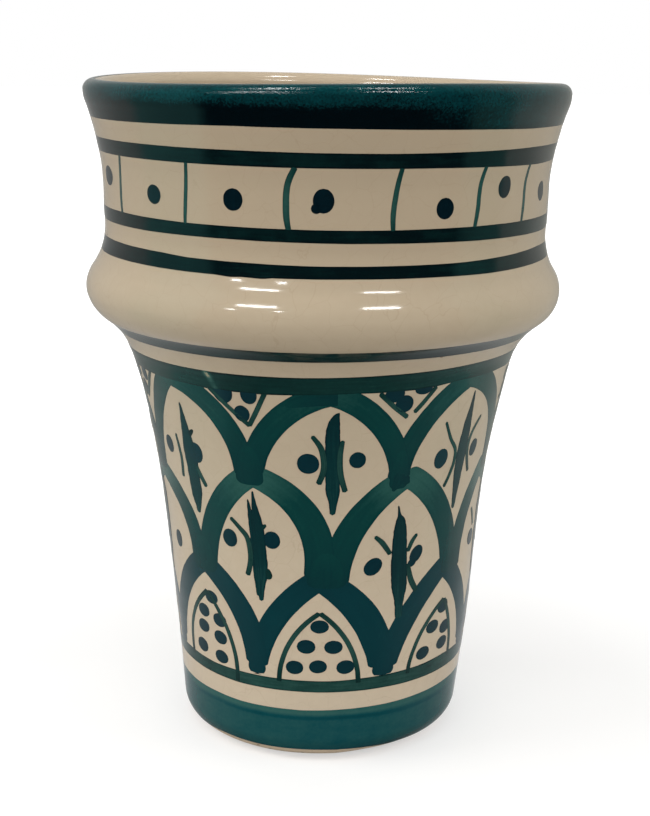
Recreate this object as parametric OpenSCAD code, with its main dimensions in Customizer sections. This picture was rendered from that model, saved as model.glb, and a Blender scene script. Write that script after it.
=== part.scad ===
// Footed earthenware tea beaker with a rolled bulge under its collar, tin glazed inside and out,
// and brush painted with bands, a dotted frieze and a field of overlapping scales.
// Millimetres, +Z up, origin at the centre of the foot's underside.
// Angle 0 faces -Y, and angles grow towards +X.

/* [Foot] */
// Diameter where the rounded foot edge runs into the wall
foot_d = 47.7; // [40:0.1:54]
// Radius of the rounded foot edge
foot_edge_r = 4.8; // [1.5:0.1:6]
// Diameter of the turned recess under the foot
recess_d = 30; // [20:0.5:36]
// Depth of the recess
recess_depth = 1.2; // [0.5:0.1:3]
// Slope of the recess wall, measured along the underside
recess_slope = 1.5; // [0.5:0.1:3]

/* [Lower body] */
// Lean of the straight part of the wall, in degrees
taper_deg = 5.3; // [3:0.1:8]
// Height where the straight part ends
taper_h = 38; // [28:0.5:44]
// Radius of the long flare above it
flare_r = 160; // [120:1:240]
// Radius of the hollow under the bulge
waist_r = 13; // [9:0.5:20]

/* [Bulge and collar] */
// Height of the bulge's crown above the table
body_h = 76.4; // [66:0.1:94]
// Diameter over the bulge
bulge_d = 78.6; // [74:0.2:88]
// Radius of the bulge's round
bulge_r = 5.8; // [4.5:0.1:7]
// Rise from the bulge's crown to the neck
shoulder_h = 10.5; // [9:0.1:13]
// Diameter at the neck
neck_d = 72; // [66:0.2:75]
// Rise from the neck to the top of the lip
collar_h = 23.1; // [18:0.1:30]
// Diameter over the lip
rim_d = 80; // [76:0.2:96]
// Radius where the collar rolls upright at the lip
lip_roll_r = 5.7; // [4:0.1:9]

/* [Walls] */
// Thickness of the glazed wall, and of the half-round lip
wall = 3.6; // [2.6:0.1:5]
// Thickness of the glazed floor above the table
floor_t = 6.5; // [5:0.1:9]
// Radius between the floor and the wall inside
floor_r = 9; // [5:0.5:14]
// Thickness of the glaze coat
glaze_t = 0.4; // [0.3:0.05:0.8]
// Height where the outer glaze was wiped off above the table
glaze_line_h = 1.9; // [1.5:0.1:2.5]
// Thickness of the painted film
paint_t = 0.15; // [0.1:0.01:0.3]

/* [Collar bands, measured down from the lip] */
// Height of the rim band
rim_band_w = 6.2; // [4:0.1:8]
// Bare glaze under the rim band
rim_gap = 3.2; // [2:0.1:4]
// Width of the line over the frieze
upper_line_w = 2.4; // [1.5:0.1:3]
// Height of the dotted frieze
frieze_h = 8.6; // [7:0.1:10]
// Width of the line under the frieze
lower_line_w = 2.2; // [1.5:0.1:3]
// Bare glaze between the two lines under the frieze
shoulder_gap = 2.9; // [2:0.1:4]
// Width of the line above the bulge
shoulder_line_w = 2.1; // [1.5:0.1:3]

/* [Frieze] */
// Width of a divider stroke
divider_w = 0.7; // [0.4:0.05:1.2]
// Diameter of a frieze dot
frieze_dot_d = 3.2; // [2:0.1:4.5]

/* [Body bands] */
// Drop from the bulge's crown to the top of the waist line
waist_line_drop = 4.9; // [4:0.1:6]
// Width of the waist line
waist_line_w = 1.9; // [1:0.1:3]
// Bare glaze between the waist line and the head band
head_gap = 2.6; // [1.5:0.1:4]
// Width of the head band over the scales
head_band_w = 3; // [2:0.1:4]
// Height of the top of the foot band
foot_band_h = 9.8; // [7:0.1:13]
// Bare glaze between the foot band and the base line
base_gap = 3.3; // [2:0.1:5]
// Width of the base line under the scales
base_line_w = 2.1; // [1:0.1:3]

/* [Scales] */
// Width of the brush stroke that draws a scale
scale_stroke = 3.8; // [3:0.1:4.5]
// Height of the top row, from the springing of its arches to the head band
top_row_h = 14; // [12:0.1:16]
// Distance from an opening's tip to the springing of the next row
crown_gap = 2.2; // [1.5:0.1:3]
// Distance from a top opening's tip to the head band
top_crown = 1.6; // [1:0.1:2.5]
// Widths of the legs between the lower, the middle and the upper arches
leg_w = [4, 5.8, 5.2]; // [3:0.1:6]

/* [Leaves, dots and seeds] */
// Width of a leaf's stem at its middle
stem_w = 2.6; // [1.6:0.1:3.4]
// Bare glaze between a stem's top and the tip of its opening
stem_top_gap = 1.2; // [0.8:0.1:3]
// Bare glaze between a stem's foot and the valley under it
stem_foot_gap = 3.2; // [1:0.1:4]
// Diameter of the two dots beside a stem
leaf_dot_d = 3.2; // [2:0.1:3.6]
// Distance of those dots from the stem's centre line
leaf_dot_x = 4.1; // [3.8:0.1:4.8]
// Width of a fine brush line
fine_w = 0.65; // [0.4:0.05:1]
// Height of a curved sprig beside a stem
sprig_h = 9; // [6:0.5:11]
// Bend radius of a sprig
sprig_r = 12; // [9:0.5:20]
// Bare glaze between a sprig and its stem
sprig_gap = 0.2; // [0.1:0.05:0.5]
// Bare glaze between a lower arch and the fine gable inside it
gable_gap = 1.4; // [1:0.1:2.2]
// Width and height of a seed
seed_size = [2.9, 2.2]; // [1.5:0.1:3.2]
// Tiers of seeds under a gable, each with one seed fewer than the tier below it
seed_tiers = 3; // [1:1:3]
// Least bare glaze between neighbouring seeds
seed_gap = 0.2; // [0.1:0.05:0.2]
// Rise from one tier of seeds to the next
seed_tier = 3.6; // [3:0.1:4]
// Bare glaze between the outermost seeds and the gable
seed_clear = 0.5; // [0.4:0.05:1]
// Height of the lowest seeds' centres above the base line
seed_base = 2.2; // [1.6:0.1:3]
// Diameter of the three dots in a corner between top arches
corner_dot_d = 2; // [1.4:0.1:2.2]
// Bare glaze round those dots
corner_dot_gap = 0.2; // [0.1:0.05:0.3]
// Height of the chevron that frames those dots
chevron_h = 6; // [5.4:0.1:6.6]
// Half width of the chevron at the head band
chevron_x = 5; // [4.6:0.1:5.4]

/* [Hidden] */
$fn = 96;

// Largest distance between a curved profile and the chords that draw it
profile_sag = 0.03;
// Where the painter set the upper arches by eye, in degrees round the cup
arch_deg = [-47.5, 1, 50, 94, 137.5, 180.5, 223.5, 267.5];
// Where the painter set the frieze dividers by eye
divider_deg = [-60, -34.5, -8.3, 16.5, 38.5, 56.5, 78.5, 100.5,
               122.5, 144.5, 166.5, 188.5, 210.5, 232.5, 254.5, 276.5];
full_turn = 360;
// Facets on the long flat rounds of a leaf stem
stem_fn = 240;
// The three rows of scales, from the foot up
lower_row = 0;
middle_row = 1;
upper_row = 2;

clay_colour = [0.72, 0.62, 0.50];
glaze_colour = [0.82, 0.77, 0.67];
green_colour = [0.05, 0.27, 0.23];
dark_green_colour = [0.04, 0.16, 0.15];
ink_colour = [0.04, 0.12, 0.16];

// Profile of the glazed skin, as stations of radius, height and angle of the outward normal
neck_z = body_h + shoulder_h;
height = neck_z + collar_h;
lip_z = height - wall / 2;
foot_r = foot_d / 2;
bulge_rr = bulge_d / 2;
neck_r = neck_d / 2;
rim_r = rim_d / 2;
foot_z = foot_edge_r * (1 - sin(taper_deg));
taper_r = foot_r + (taper_h - foot_z) * tan(taper_deg);

// The flare's and the waist's centres close a triangle with the bulge's centre,
// which gives the two angles where those rounds meet
flare_arm = flare_r - waist_r;
waist_arm = waist_r + bulge_r;
reach_r = taper_r + flare_r * cos(taper_deg) + bulge_r - bulge_rr;
reach_z = body_h - taper_h + flare_r * sin(taper_deg);
reach = norm([reach_r, reach_z]);
reach_deg = atan2(reach_z, reach_r);
flare_deg = reach_deg - acos((flare_arm ^ 2 + reach ^ 2 - waist_arm ^ 2) / (2 * flare_arm * reach));
waist_deg = reach_deg + acos((waist_arm ^ 2 + reach ^ 2 - flare_arm ^ 2) / (2 * waist_arm * reach));

// Two rounds that meet upright walls at both ends have radii with this sum
function round_sum(step_r, step_z) = (step_r ^ 2 + step_z ^ 2) / (2 * step_r);
shoulder_sum = round_sum(bulge_rr - neck_r, shoulder_h);
shoulder_deg = asin(shoulder_h / shoulder_sum);
collar_sum = round_sum(rim_r - neck_r, lip_z - neck_z);
collar_deg = asin((lip_z - neck_z) / collar_sum);

function facing(a) = [cos(a), sin(a)];
function chord_step(r) = 2 * acos(1 - profile_sag / abs(r));
// Stations along a round of radius r, negative where the wall is hollow, without the first one
function bend(centre, r, from, to) =
  let (steps = ceil(abs(to - from) / chord_step(r)))
  [for (i = [1:steps])
    let (a = from + (to - from) * i / steps, p = centre + r * facing(a))
    [p[0], p[1], a]];

taper_top = [taper_r, taper_h];
flare_centre = taper_top + flare_r * facing(-taper_deg);
flare_top = flare_centre - flare_r * facing(-flare_deg);
waist_centre = flare_top + waist_r * facing(-flare_deg);
foot_centre = [foot_r - foot_edge_r * cos(taper_deg), foot_edge_r];
lip_centre = [rim_r - wall / 2, lip_z];

foot_path = concat([[foot_centre[0], 0, -90]], bend(foot_centre, foot_edge_r, -90, -taper_deg));
wall_path = concat(
  [[taper_r, taper_h, -taper_deg]],
  bend(flare_centre, -flare_r, -taper_deg, -flare_deg),
  bend(waist_centre, -waist_r, -flare_deg, -waist_deg),
  bend([bulge_rr - bulge_r, body_h], bulge_r, -waist_deg, shoulder_deg),
  bend([neck_r + shoulder_sum - bulge_r, neck_z], bulge_r - shoulder_sum, shoulder_deg, 0),
  bend([neck_r + collar_sum - lip_roll_r, neck_z], lip_roll_r - collar_sum, 0, -collar_deg),
  bend([rim_r - lip_roll_r, lip_z], lip_roll_r, -collar_deg, 0));
outer_path = concat(foot_path, wall_path, bend(lip_centre, wall / 2, 0, 90));

floor_centre_z = floor_t + floor_r;
floor_centre_r = foot_r + (floor_centre_z - foot_z) * tan(taper_deg) - (wall + floor_r) / cos(taper_deg);
inner_path = concat(
  [[lip_centre[0], height, 90]],
  bend(lip_centre, wall / 2, 90, 180),
  [for (i = [len(wall_path) - 2:-1:0])
    let (s = wall_path[i], p = [s[0], s[1]] - wall * facing(s[2]))
    [p[0], p[1], s[2] + 180]],
  bend([floor_centre_r, floor_centre_z], -floor_r, 180 - taper_deg, 90),
  [[0, floor_t, 90]]);

function shifted(path, t) = [for (s = path) [s[0], s[1]] + t * facing(s[2])];
function backwards(points) = [for (i = [len(points) - 1:-1:0]) points[i]];
function radius_at(points, z) = lookup(z, [for (p = points) [p[1], p[0]]]);
// The part of a rising line between two heights, with its cut ends
function between(points, z0, z1) = concat(
  [[radius_at(points, z0), z0]],
  [for (p = points) if (p[1] > z0 && p[1] < z1) p],
  z1 < points[len(points) - 1][1] ? [[radius_at(points, z1), z1]] : []);

skin = shifted(outer_path, 0);
under_glaze = shifted(outer_path, -glaze_t);
over_paint = shifted(outer_path, paint_t);
above_all = height + wall;
// A painted outline runs from inside the narrowest wall to outside the widest one
outline_start = foot_r - 2 * wall;
outline_end = max(rim_r, bulge_rr) + wall;

// Heights of the painted bands
rim_band_z = height - rim_band_w;
upper_line_z = rim_band_z - rim_gap - upper_line_w;
frieze_z = upper_line_z - frieze_h;
lower_line_z = frieze_z - lower_line_w;
shoulder_line_z = lower_line_z - shoulder_gap - shoulder_line_w;
waist_line_z = body_h - waist_line_drop - waist_line_w;
head_top_z = waist_line_z - head_gap;
head_z = head_top_z - head_band_w;
base_line_z = foot_band_h + base_gap;
field_z = base_line_z + base_line_w;

// Scale rows: where each row's arches spring from, and how far their openings rise
row_pitch = (head_z - field_z - top_row_h) / 2;
spring_z = [field_z, field_z + row_pitch, field_z + 2 * row_pitch];
rise = [row_pitch - crown_gap, row_pitch - crown_gap, top_row_h - top_crown];
arch_count = len(arch_deg);
function around(list, i) = list[(i + len(list)) % len(list)];
// Angle from one mark to the next one round the cup
function span_to_next(list, i) = (around(list, i + 1) - list[i] + full_turn) % full_turn;
gap_deg = [for (i = [0:arch_count - 1]) arch_deg[i] + span_to_next(arch_deg, i) / 2];
// The lower and upper rows stand over the marks, and the middle row between them
function row_centres(row) = row == middle_row ? gap_deg : arch_deg;
function before(i) = (i + arch_count - 1) % arch_count;
function half_left(row, i) = span_to_next(arch_deg, row == middle_row ? i : before(i)) / 2;
function half_right(row, i) = span_to_next(arch_deg, i) / 2;
function half_chord(row, half_deg) = radius_at(skin, spring_z[row]) * sin(half_deg) - leg_w[row] / 2;

// Revolved pieces

module turned(points) {
  rotate_extrude() polygon(points);
}

// A painted ring between two heights
module band(z0, z1) {
  turned(concat(between(over_paint, z0, z1), backwards(between(skin, z0, z1))));
}

module clay_body() {
  color(clay_colour)
    turned(concat(
      [[0, recess_depth], [recess_d / 2 - recess_slope, recess_depth], [recess_d / 2, 0]],
      [for (p = skin) if (p[1] < glaze_line_h) p],
      [[radius_at(skin, glaze_line_h), glaze_line_h]],
      between(under_glaze, glaze_line_h, above_all),
      shifted([for (i = [1:len(inner_path) - 1]) inner_path[i]], -glaze_t)));
}

module outer_glaze() {
  color(glaze_colour)
    turned(concat(
      between(skin, glaze_line_h, above_all),
      backwards(between(under_glaze, glaze_line_h, above_all))));
}

module inner_glaze() {
  color(glaze_colour)
    turned(concat(shifted(inner_path, 0), backwards(shifted(inner_path, -glaze_t))));
}

module rim_band() {
  color(green_colour) band(rim_band_z, above_all);
}

module frieze_upper_line() {
  color(dark_green_colour) band(upper_line_z, upper_line_z + upper_line_w);
}

module frieze_lower_line() {
  color(dark_green_colour) band(lower_line_z, frieze_z);
}

module shoulder_line() {
  color(dark_green_colour) band(shoulder_line_z, shoulder_line_z + shoulder_line_w);
}

module waist_line() {
  color(dark_green_colour) band(waist_line_z, waist_line_z + waist_line_w);
}

module head_band() {
  color(dark_green_colour) band(head_z, head_top_z);
}

module base_line() {
  color(dark_green_colour) band(base_line_z, field_z);
}

module foot_band() {
  color(green_colour) band(glaze_line_h, foot_band_h);
}

// Brush strokes: outlines drawn upright, turned to face outwards and cut to the painted film

// Stands a flat outline at an angle round the cup, with its own up along +Z
module outward(angle) {
  rotate(angle)
    rotate([90, 0, 0])
      translate([0, 0, outline_start])
        linear_extrude(outline_end - outline_start) children();
}

// Keeps what the outlines share with the paint film between two heights
module painted(z0, z1) {
  intersection() {
    band(z0, z1);
    union() children();
  }
}

// A pointed arch through its two springing points and its tip, or its outside edge when grown
module lancet(left, right, up, grow = 0) {
  right_r = (right ^ 2 + up ^ 2) / (2 * right);
  left_r = (left ^ 2 + up ^ 2) / (2 * left);
  intersection() {
    translate([right - right_r, 0]) circle(right_r + grow);
    translate([left_r - left, 0]) circle(left_r + grow);
  }
}

// All the arches of a row, as solids that reach through the film
module row_lancets(row, grow) {
  centres = row_centres(row);
  for (i = [0:arch_count - 1])
    outward(centres[i])
      translate([0, spring_z[row]])
        lancet(half_chord(row, half_left(row, i)), half_chord(row, half_right(row, i)), rise[row], grow);
}

// A row of strokes whose legs stand on the crowns of the row below it
module scale_row(row) {
  bottom = row == lower_row ? field_z : spring_z[row] - crown_gap;
  top = row == upper_row ? head_z : spring_z[row] + rise[row] + 2 * scale_stroke;
  difference() {
    painted(bottom, top) row_lancets(row, scale_stroke);
    row_lancets(row, 0);
    if (row > lower_row) row_lancets(row - 1, scale_stroke);
  }
}

module upper_scales() {
  color(green_colour) scale_row(upper_row);
}

module middle_scales() {
  color(green_colour) scale_row(middle_row);
}

module lower_scales() {
  color(green_colour) scale_row(lower_row);
}

module frieze_dividers() {
  color(dark_green_colour)
    painted(frieze_z, upper_line_z)
      for (a = divider_deg)
        outward(a)
          translate([-divider_w / 2, frieze_z - divider_w])
            square([divider_w, frieze_h + 2 * divider_w]);
}

module frieze_dots() {
  color(ink_colour)
    painted(frieze_z, upper_line_z)
      for (i = [0:len(divider_deg) - 1])
        outward(divider_deg[i] + span_to_next(divider_deg, i) / 2)
          translate([0, frieze_z + frieze_h / 2]) circle(d = frieze_dot_d);
}

// A leaf stands between the valley where two strokes of the row below part and the tip over it
function parting_rise(row, half_deg) =
  let (a = half_chord(row, half_deg), r = (a ^ 2 + rise[row] ^ 2) / (2 * a))
  sqrt((r + scale_stroke) ^ 2 - (r + leg_w[row] / 2) ^ 2);
mean_half = full_turn / arch_count / 2;
function valley_z(row) = spring_z[row] + parting_rise(row, mean_half);
function stem_z0(row) = valley_z(row - 1) + stem_foot_gap;
function stem_z1(row) = spring_z[row] + rise[row] - stem_top_gap;
function leaf_z(row) = (stem_z0(row) + stem_z1(row)) / 2;

module spindle(w, h) {
  lancet(w / 2, w / 2, h / 2, $fn = stem_fn);
}

module stem_row(row) {
  painted(stem_z0(row) - stem_w, stem_z1(row) + stem_w)
    for (a = row_centres(row))
      outward(a)
        translate([0, leaf_z(row)]) spindle(stem_w, stem_z1(row) - stem_z0(row));
}

module upper_leaf_stems() {
  color(ink_colour) stem_row(upper_row);
}

module middle_leaf_stems() {
  color(ink_colour) stem_row(middle_row);
}

// A fine stroke beside a stem, bowed towards it
module sprig(side) {
  intersection() {
    translate([side * (stem_w / 2 + sprig_gap + sprig_r), 0])
      difference() {
        circle(sprig_r);
        circle(sprig_r - fine_w);
      }
    translate([side * sprig_h / 2, 0]) square(sprig_h, center = true);
  }
}

module leaf_sprigs() {
  color(dark_green_colour)
    for (row = [middle_row, upper_row])
      painted(leaf_z(row) - sprig_h, leaf_z(row) + sprig_h)
        for (a = row_centres(row), side = [-1, 1])
          outward(a) translate([0, leaf_z(row)]) sprig(side);
}

module leaf_dots() {
  color(ink_colour)
    for (row = [middle_row, upper_row])
      painted(leaf_z(row) - leaf_dot_d, leaf_z(row) + leaf_dot_d)
        for (a = row_centres(row), side = [-1, 1])
          outward(a)
            translate([side * leaf_dot_x, leaf_z(row)]) circle(d = leaf_dot_d);
}

// A fine arch inside each lower opening, kept at an even distance from it
module gable_lines() {
  color(dark_green_colour)
    difference() {
      painted(field_z, field_z + row_pitch) row_lancets(lower_row, -gable_gap);
      row_lancets(lower_row, -gable_gap - fine_w);
    }
}

// A dab of the brush, wider than it is tall
module dab(size) {
  span = size[0] - size[1];
  for (side = [-1, 1]) translate([side * span / 2, 0]) circle(d = size[1]);
  square([span, size[1]], center = true);
}

// Seeds heaped under each gable, spread over its width, with no more in a tier than it has room for
module seed_dots() {
  color(ink_colour)
    painted(field_z, field_z + rise[lower_row])
      for (n = [0:arch_count - 1]) {
        half_deg = min(half_left(lower_row, n), half_right(lower_row, n));
        gable_half = half_chord(lower_row, half_deg) - gable_gap - fine_w;
        spread = 2 * (gable_half - seed_clear) - seed_size[0];
        last = min(seed_tiers - 1, floor(spread / (seed_size[0] + seed_gap)));
        pitch = spread / max(last, 1);
        for (tier = [0:last], i = [0:last - tier])
          outward(arch_deg[n])
            translate([(i - (last - tier) / 2) * pitch, field_z + seed_base + tier * seed_tier])
              dab(seed_size);
      }
}

// Two strokes that meet in a point between neighbouring top arches
module corner_chevrons() {
  slope = atan2(chevron_h, chevron_x);
  color(dark_green_colour)
    painted(head_z - 2 * chevron_h, head_z)
      for (a = gap_deg)
        outward(a)
          translate([0, head_z - chevron_h])
            for (side = [0, 1])
              mirror([side, 0])
                rotate(slope) square([2 * chevron_h, fine_w]);
}

// Three dots held in the chevron, two over one
module corner_dots() {
  pitch = corner_dot_d + corner_dot_gap;
  pair_z = head_z - corner_dot_gap - corner_dot_d / 2;
  color(ink_colour)
    painted(head_z - chevron_h, head_z)
      for (a = gap_deg)
        outward(a) {
          for (side = [-1, 1]) translate([side * pitch / 2, pair_z]) circle(d = corner_dot_d);
          translate([0, pair_z - pitch * sin(60)]) circle(d = corner_dot_d);
        }
}

clay_body();
outer_glaze();
inner_glaze();
rim_band();
frieze_upper_line();
frieze_lower_line();
shoulder_line();
waist_line();
head_band();
base_line();
foot_band();
frieze_dividers();
frieze_dots();
upper_scales();
middle_scales();
lower_scales();
upper_leaf_stems();
middle_leaf_stems();
leaf_sprigs();
leaf_dots();
gable_lines();
seed_dots();
corner_chevrons();
corner_dots();
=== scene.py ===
import math
import random

import bmesh
import bpy
import numpy as np
from mathutils import Matrix, Vector


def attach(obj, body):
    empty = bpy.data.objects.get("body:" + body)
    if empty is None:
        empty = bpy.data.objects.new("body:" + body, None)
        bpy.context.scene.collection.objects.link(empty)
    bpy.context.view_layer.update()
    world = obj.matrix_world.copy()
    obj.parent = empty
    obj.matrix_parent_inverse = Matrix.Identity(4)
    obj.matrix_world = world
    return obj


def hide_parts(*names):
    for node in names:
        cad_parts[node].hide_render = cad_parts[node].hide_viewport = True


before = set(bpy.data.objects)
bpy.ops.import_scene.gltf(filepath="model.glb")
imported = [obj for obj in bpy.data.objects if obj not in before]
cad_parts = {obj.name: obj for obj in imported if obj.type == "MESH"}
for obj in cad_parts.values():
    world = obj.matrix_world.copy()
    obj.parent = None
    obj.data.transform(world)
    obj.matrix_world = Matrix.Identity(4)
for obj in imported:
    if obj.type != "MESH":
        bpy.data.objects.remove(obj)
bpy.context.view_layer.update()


# Clay body
# One lump of buff earthenware, thrown on the wheel as a tapering cup with a rolled bulge and a flared
# collar. Its underside is turned to a shallow recess, and the foot is bare where the glaze was wiped away.

MM = 0.001
FOOT_R = 23.85
FOOT_EDGE_R = 4.8
RECESS_R = 15.0
RECESS_SLOPE = 1.5
RECESS_DEPTH = 1.2
TAPER_DEG = 5.3
TAPER_H = 38.0
FLARE_R = 160.0
WAIST_R = 13.0
BULGE_H = 76.4
BULGE_OUT = 39.3
BULGE_R = 5.8
NECK_H = 86.9
NECK_OUT = 36.0
RIM_H = 110.0
RIM_OUT = 40.0
LIP_ROLL_R = 5.7
WALL = 3.6
FLOOR_H = 6.5
FLOOR_R = 9.0
GLAZE = 0.4
GLAZE_LINE_H = 1.9
# The bare clay lies a little below the glaze, and runs on under its edge
BARE_DROP = 0.05
BARE_H = 2.6
# Chords along the profile and over the floor, how far they may leave a round, and when two points are one
LONGEST_CHORD = 0.6
FLOOR_CHORD = 1.0
CHORD_SAG = 0.002
SAME_POINT = 0.0001
# How the hands show: rings left by the fingers, an oval and wavy rim, and a slight groove where the bulge
# meets the neck
OUTER_RING = 0.012
INNER_RING = 0.07
RING_PITCH = 4.6
RING_START_R = 5.0
OVAL = 0.002
RIM_WAVE = ((0, -0.22, 0.0), (1, 0.289, -0.048), (2, 0.168, 0.336))
RIM_WAVE_H = (101.0, 110.0)
GROOVE = 0.22
GROOVE_H = 79.5
GROOVE_WIDTH = 2.2
# The foot was cut a little short on the right, in degrees round the cup and mm
SHORT_FOOT = ((-20, 0.0), (8, 0.12), (20, 0.36), (40, 0.44), (75, 0.25), (110, 0.0))
SHORT_FOOT_H = 9.0
# How far the wall strays from the turned line: about which height, over what width, on the left and on the
# right, in mm
STRAY = ((107, 4.5, -0.33, -0.26), (89, 5.5, 0.55, 0.6), (77, 6, 0.45, -0.12), (66, 5, 0.42, -0.2),
         (52, 10, 0.26, 0.02), (20, 13, -0.18, 0.4))
# The clay's grain: how fine its grit, clouds, iron specks and tool rings are, the specks' size, and the
# depth of the grit in mm
GRIT_SCALE = 900.0
CLAY_CLOUDS = 70.0
SPECK_SCALE = 420.0
SPECK_SIZE = 0.13
TOOL_RINGS = 9000.0
GRIT_DEPTH = 0.12


def facing(angle):
    """Unit vector of radius and height at an angle in degrees."""
    return np.array((math.cos(math.radians(angle)), math.sin(math.radians(angle))))


def smooth(low, high, value):
    share = np.clip((value - low) / (high - low), 0, 1)
    return share * share * (3 - 2 * share)


def follow(start, angle, rounds):
    """Stations of radius, height and normal angle along rounds in a row, where hollows are negative."""
    stations = []
    point = np.array(start, float)
    for radius, end in rounds:
        centre = point - radius * facing(angle)
        chord = min(LONGEST_CHORD, math.sqrt(8 * CHORD_SAG * abs(radius)))
        count = math.ceil(abs(math.radians(end - angle) * radius) / chord)
        for turn in np.linspace(angle, end, count + 1)[1:]:
            point = centre + radius * facing(turn)
            stations.append((*point, turn))
        angle = end
    return stations


def rounds_between(step_r, step_h):
    """Sum of the radii of two rounds that join upright walls, and the angle where they meet."""
    both = (step_r ** 2 + step_h ** 2) / (2 * step_r)
    return both, math.degrees(math.asin(step_h / both))


def corner_angle(beside, other, opposite):
    """Angle in degrees between two sides of a triangle."""
    return math.degrees(math.acos((beside ** 2 + other ** 2 - opposite ** 2) / (2 * beside * other)))


lean = math.tan(math.radians(TAPER_DEG))
foot_flat_r = FOOT_R - FOOT_EDGE_R * facing(TAPER_DEG)[0]
foot_edge = follow((foot_flat_r, 0), -90, [(FOOT_EDGE_R, -TAPER_DEG)])
taper_r = FOOT_R + (TAPER_H - foot_edge[-1][1]) * lean
taper_h = np.arange(foot_edge[-1][1] + LONGEST_CHORD, TAPER_H - LONGEST_CHORD / 2, LONGEST_CHORD)
taper = [(taper_r - (TAPER_H - h) * lean, h, -TAPER_DEG) for h in taper_h]
taper.append((taper_r, TAPER_H, -TAPER_DEG))

# The flare's and the waist's centres close a triangle with the bulge's centre
flare_arm = FLARE_R - WAIST_R
waist_arm = WAIST_R + BULGE_R
span = np.array((taper_r + BULGE_R - BULGE_OUT, BULGE_H - TAPER_H)) + FLARE_R * facing(TAPER_DEG)
span_length = math.hypot(*span)
span_deg = math.degrees(math.atan2(span[1], span[0]))
flare_deg = span_deg - corner_angle(flare_arm, span_length, waist_arm)
waist_deg = span_deg + corner_angle(waist_arm, span_length, flare_arm)
shoulder_sum, shoulder_deg = rounds_between(BULGE_OUT - NECK_OUT, NECK_H - BULGE_H)
lip_h = RIM_H - WALL / 2
collar_sum, collar_deg = rounds_between(RIM_OUT - NECK_OUT, lip_h - NECK_H)

upper_wall = follow((taper_r, TAPER_H), -TAPER_DEG, [
    (-FLARE_R, -flare_deg),
    (-WAIST_R, -waist_deg),
    (BULGE_R, shoulder_deg),
    (BULGE_R - shoulder_sum, 0),
    (LIP_ROLL_R - collar_sum, -collar_deg),
    (LIP_ROLL_R, 0)])
crest = follow(upper_wall[-1][:2], 0, [(WALL / 2, 90)])
outside = np.array([(foot_flat_r, 0, -90)] + foot_edge + taper + upper_wall + crest)

# The inner wall keeps an even distance from the outer one, down to a rounded floor
inner_crest = follow(crest[-1][:2], 90, [(WALL / 2, 180)])
floor_centre_h = FLOOR_H + FLOOR_R
floor_edge_h = floor_centre_h + FLOOR_R * facing(90 + TAPER_DEG)[0]
inner_wall = [(*(np.array(s[:2]) - WALL * facing(s[2])), s[2] + 180)
              for s in reversed(taper + upper_wall[:-1])]
inner_wall = [s for s in inner_wall if s[1] > floor_edge_h + LONGEST_CHORD / 2]
floor_edge_r = inner_wall[-1][0] - (inner_wall[-1][1] - floor_edge_h) * lean
floor_edge = follow((floor_edge_r, floor_edge_h), 180 - TAPER_DEG, [(-FLOOR_R, 90)])
floor_r = np.arange(floor_edge[-1][0] - FLOOR_CHORD, FLOOR_CHORD / 2, -FLOOR_CHORD)
floor = [(r, FLOOR_H, 90) for r in floor_r] + [(0, FLOOR_H, 90)]
inside = np.array([crest[-1]] + inner_crest + inner_wall + floor_edge + floor)


def round_cup(marks, turn):
    """A value round the cup, from marks of a turn in degrees and the value there."""
    return np.interp(np.degrees(turn), [m[0] for m in marks], [m[1] for m in marks], period=360)


def bump_at(value, middle, wide):
    """1 at the middle, falling away softly over a width."""
    return np.exp(-((value - middle) / wide) ** 2)


def thrown(radius, height, angle, turn, ring, lift=0.0):
    """Where a station lies on the real pot, in metres. Turns are in radians from -Y towards +X."""
    spiral = (np.sin(2 * np.pi * height / RING_PITCH + turn)
              + np.sin(5 * np.pi * height / RING_PITCH - turn) / 2)
    fade = smooth(FOOT_EDGE_R, 4 * FOOT_EDGE_R, height) * smooth(0, RING_START_R, radius)
    groove = bump_at(height, GROOVE_H, GROOVE_WIDTH) * (1 + np.cos(turn)) / 2
    out = lift + ring * fade * spiral - GROOVE * groove * (np.cos(np.radians(angle)) > 0)
    wave = sum(a * np.cos(k * turn) + b * np.sin(k * turn) for k, a, b in RIM_WAVE)
    stray = sum((left + (right - left) * (1 + np.sin(turn)) / 2) * bump_at(height, middle, wide)
                for middle, wide, left, right in STRAY) * smooth(0, FOOT_R, radius)
    rr = radius * (1 + OVAL * height / RIM_H * np.cos(2 * turn)) + stray + out * np.cos(np.radians(angle))
    hh = height + out * np.sin(np.radians(angle)) + wave * smooth(*RIM_WAVE_H, height)
    cut = (radius > RECESS_R) & (angle < 0)
    hh = hh + round_cup(SHORT_FOOT, turn) * (1 - smooth(0, SHORT_FOOT_H, height)) * cut
    return np.stack((rr * np.sin(turn), -rr * np.cos(turn), hh), axis=-1) * MM


skin = np.vstack((outside, inside[1:]))
travel = np.concatenate(([0], np.cumsum(np.hypot(*np.diff(skin[:, :2], axis=0).T))))
crest_index = len(outside) - 1


def travel_at(height):
    """Distance along the outer profile to a height."""
    return np.interp(height, outside[:, 1], travel[:crest_index + 1])


def radius_at(height):
    return np.interp(height, outside[:, 1], outside[:, 0])


def on_wall(distance, turn, lift=0.0):
    """A point of the glazed wall, from its distance along the profile and its turn."""
    radius, height, angle = (np.interp(distance, travel, skin[:, k]) for k in range(3))
    return thrown(radius, height, angle, turn, OUTER_RING, lift)


def shifted(stations, distance):
    """The same stations, moved along their normals."""
    move = np.stack((np.cos(np.radians(stations[:, 2])), np.sin(np.radians(stations[:, 2]))), axis=1)
    return np.column_stack((stations[:, :2] + distance * move, stations[:, 2]))


def add(name, data):
    """A new object in the scene."""
    piece = bpy.data.objects.new(name, data)
    bpy.context.scene.collection.objects.link(piece)
    return piece


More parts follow.
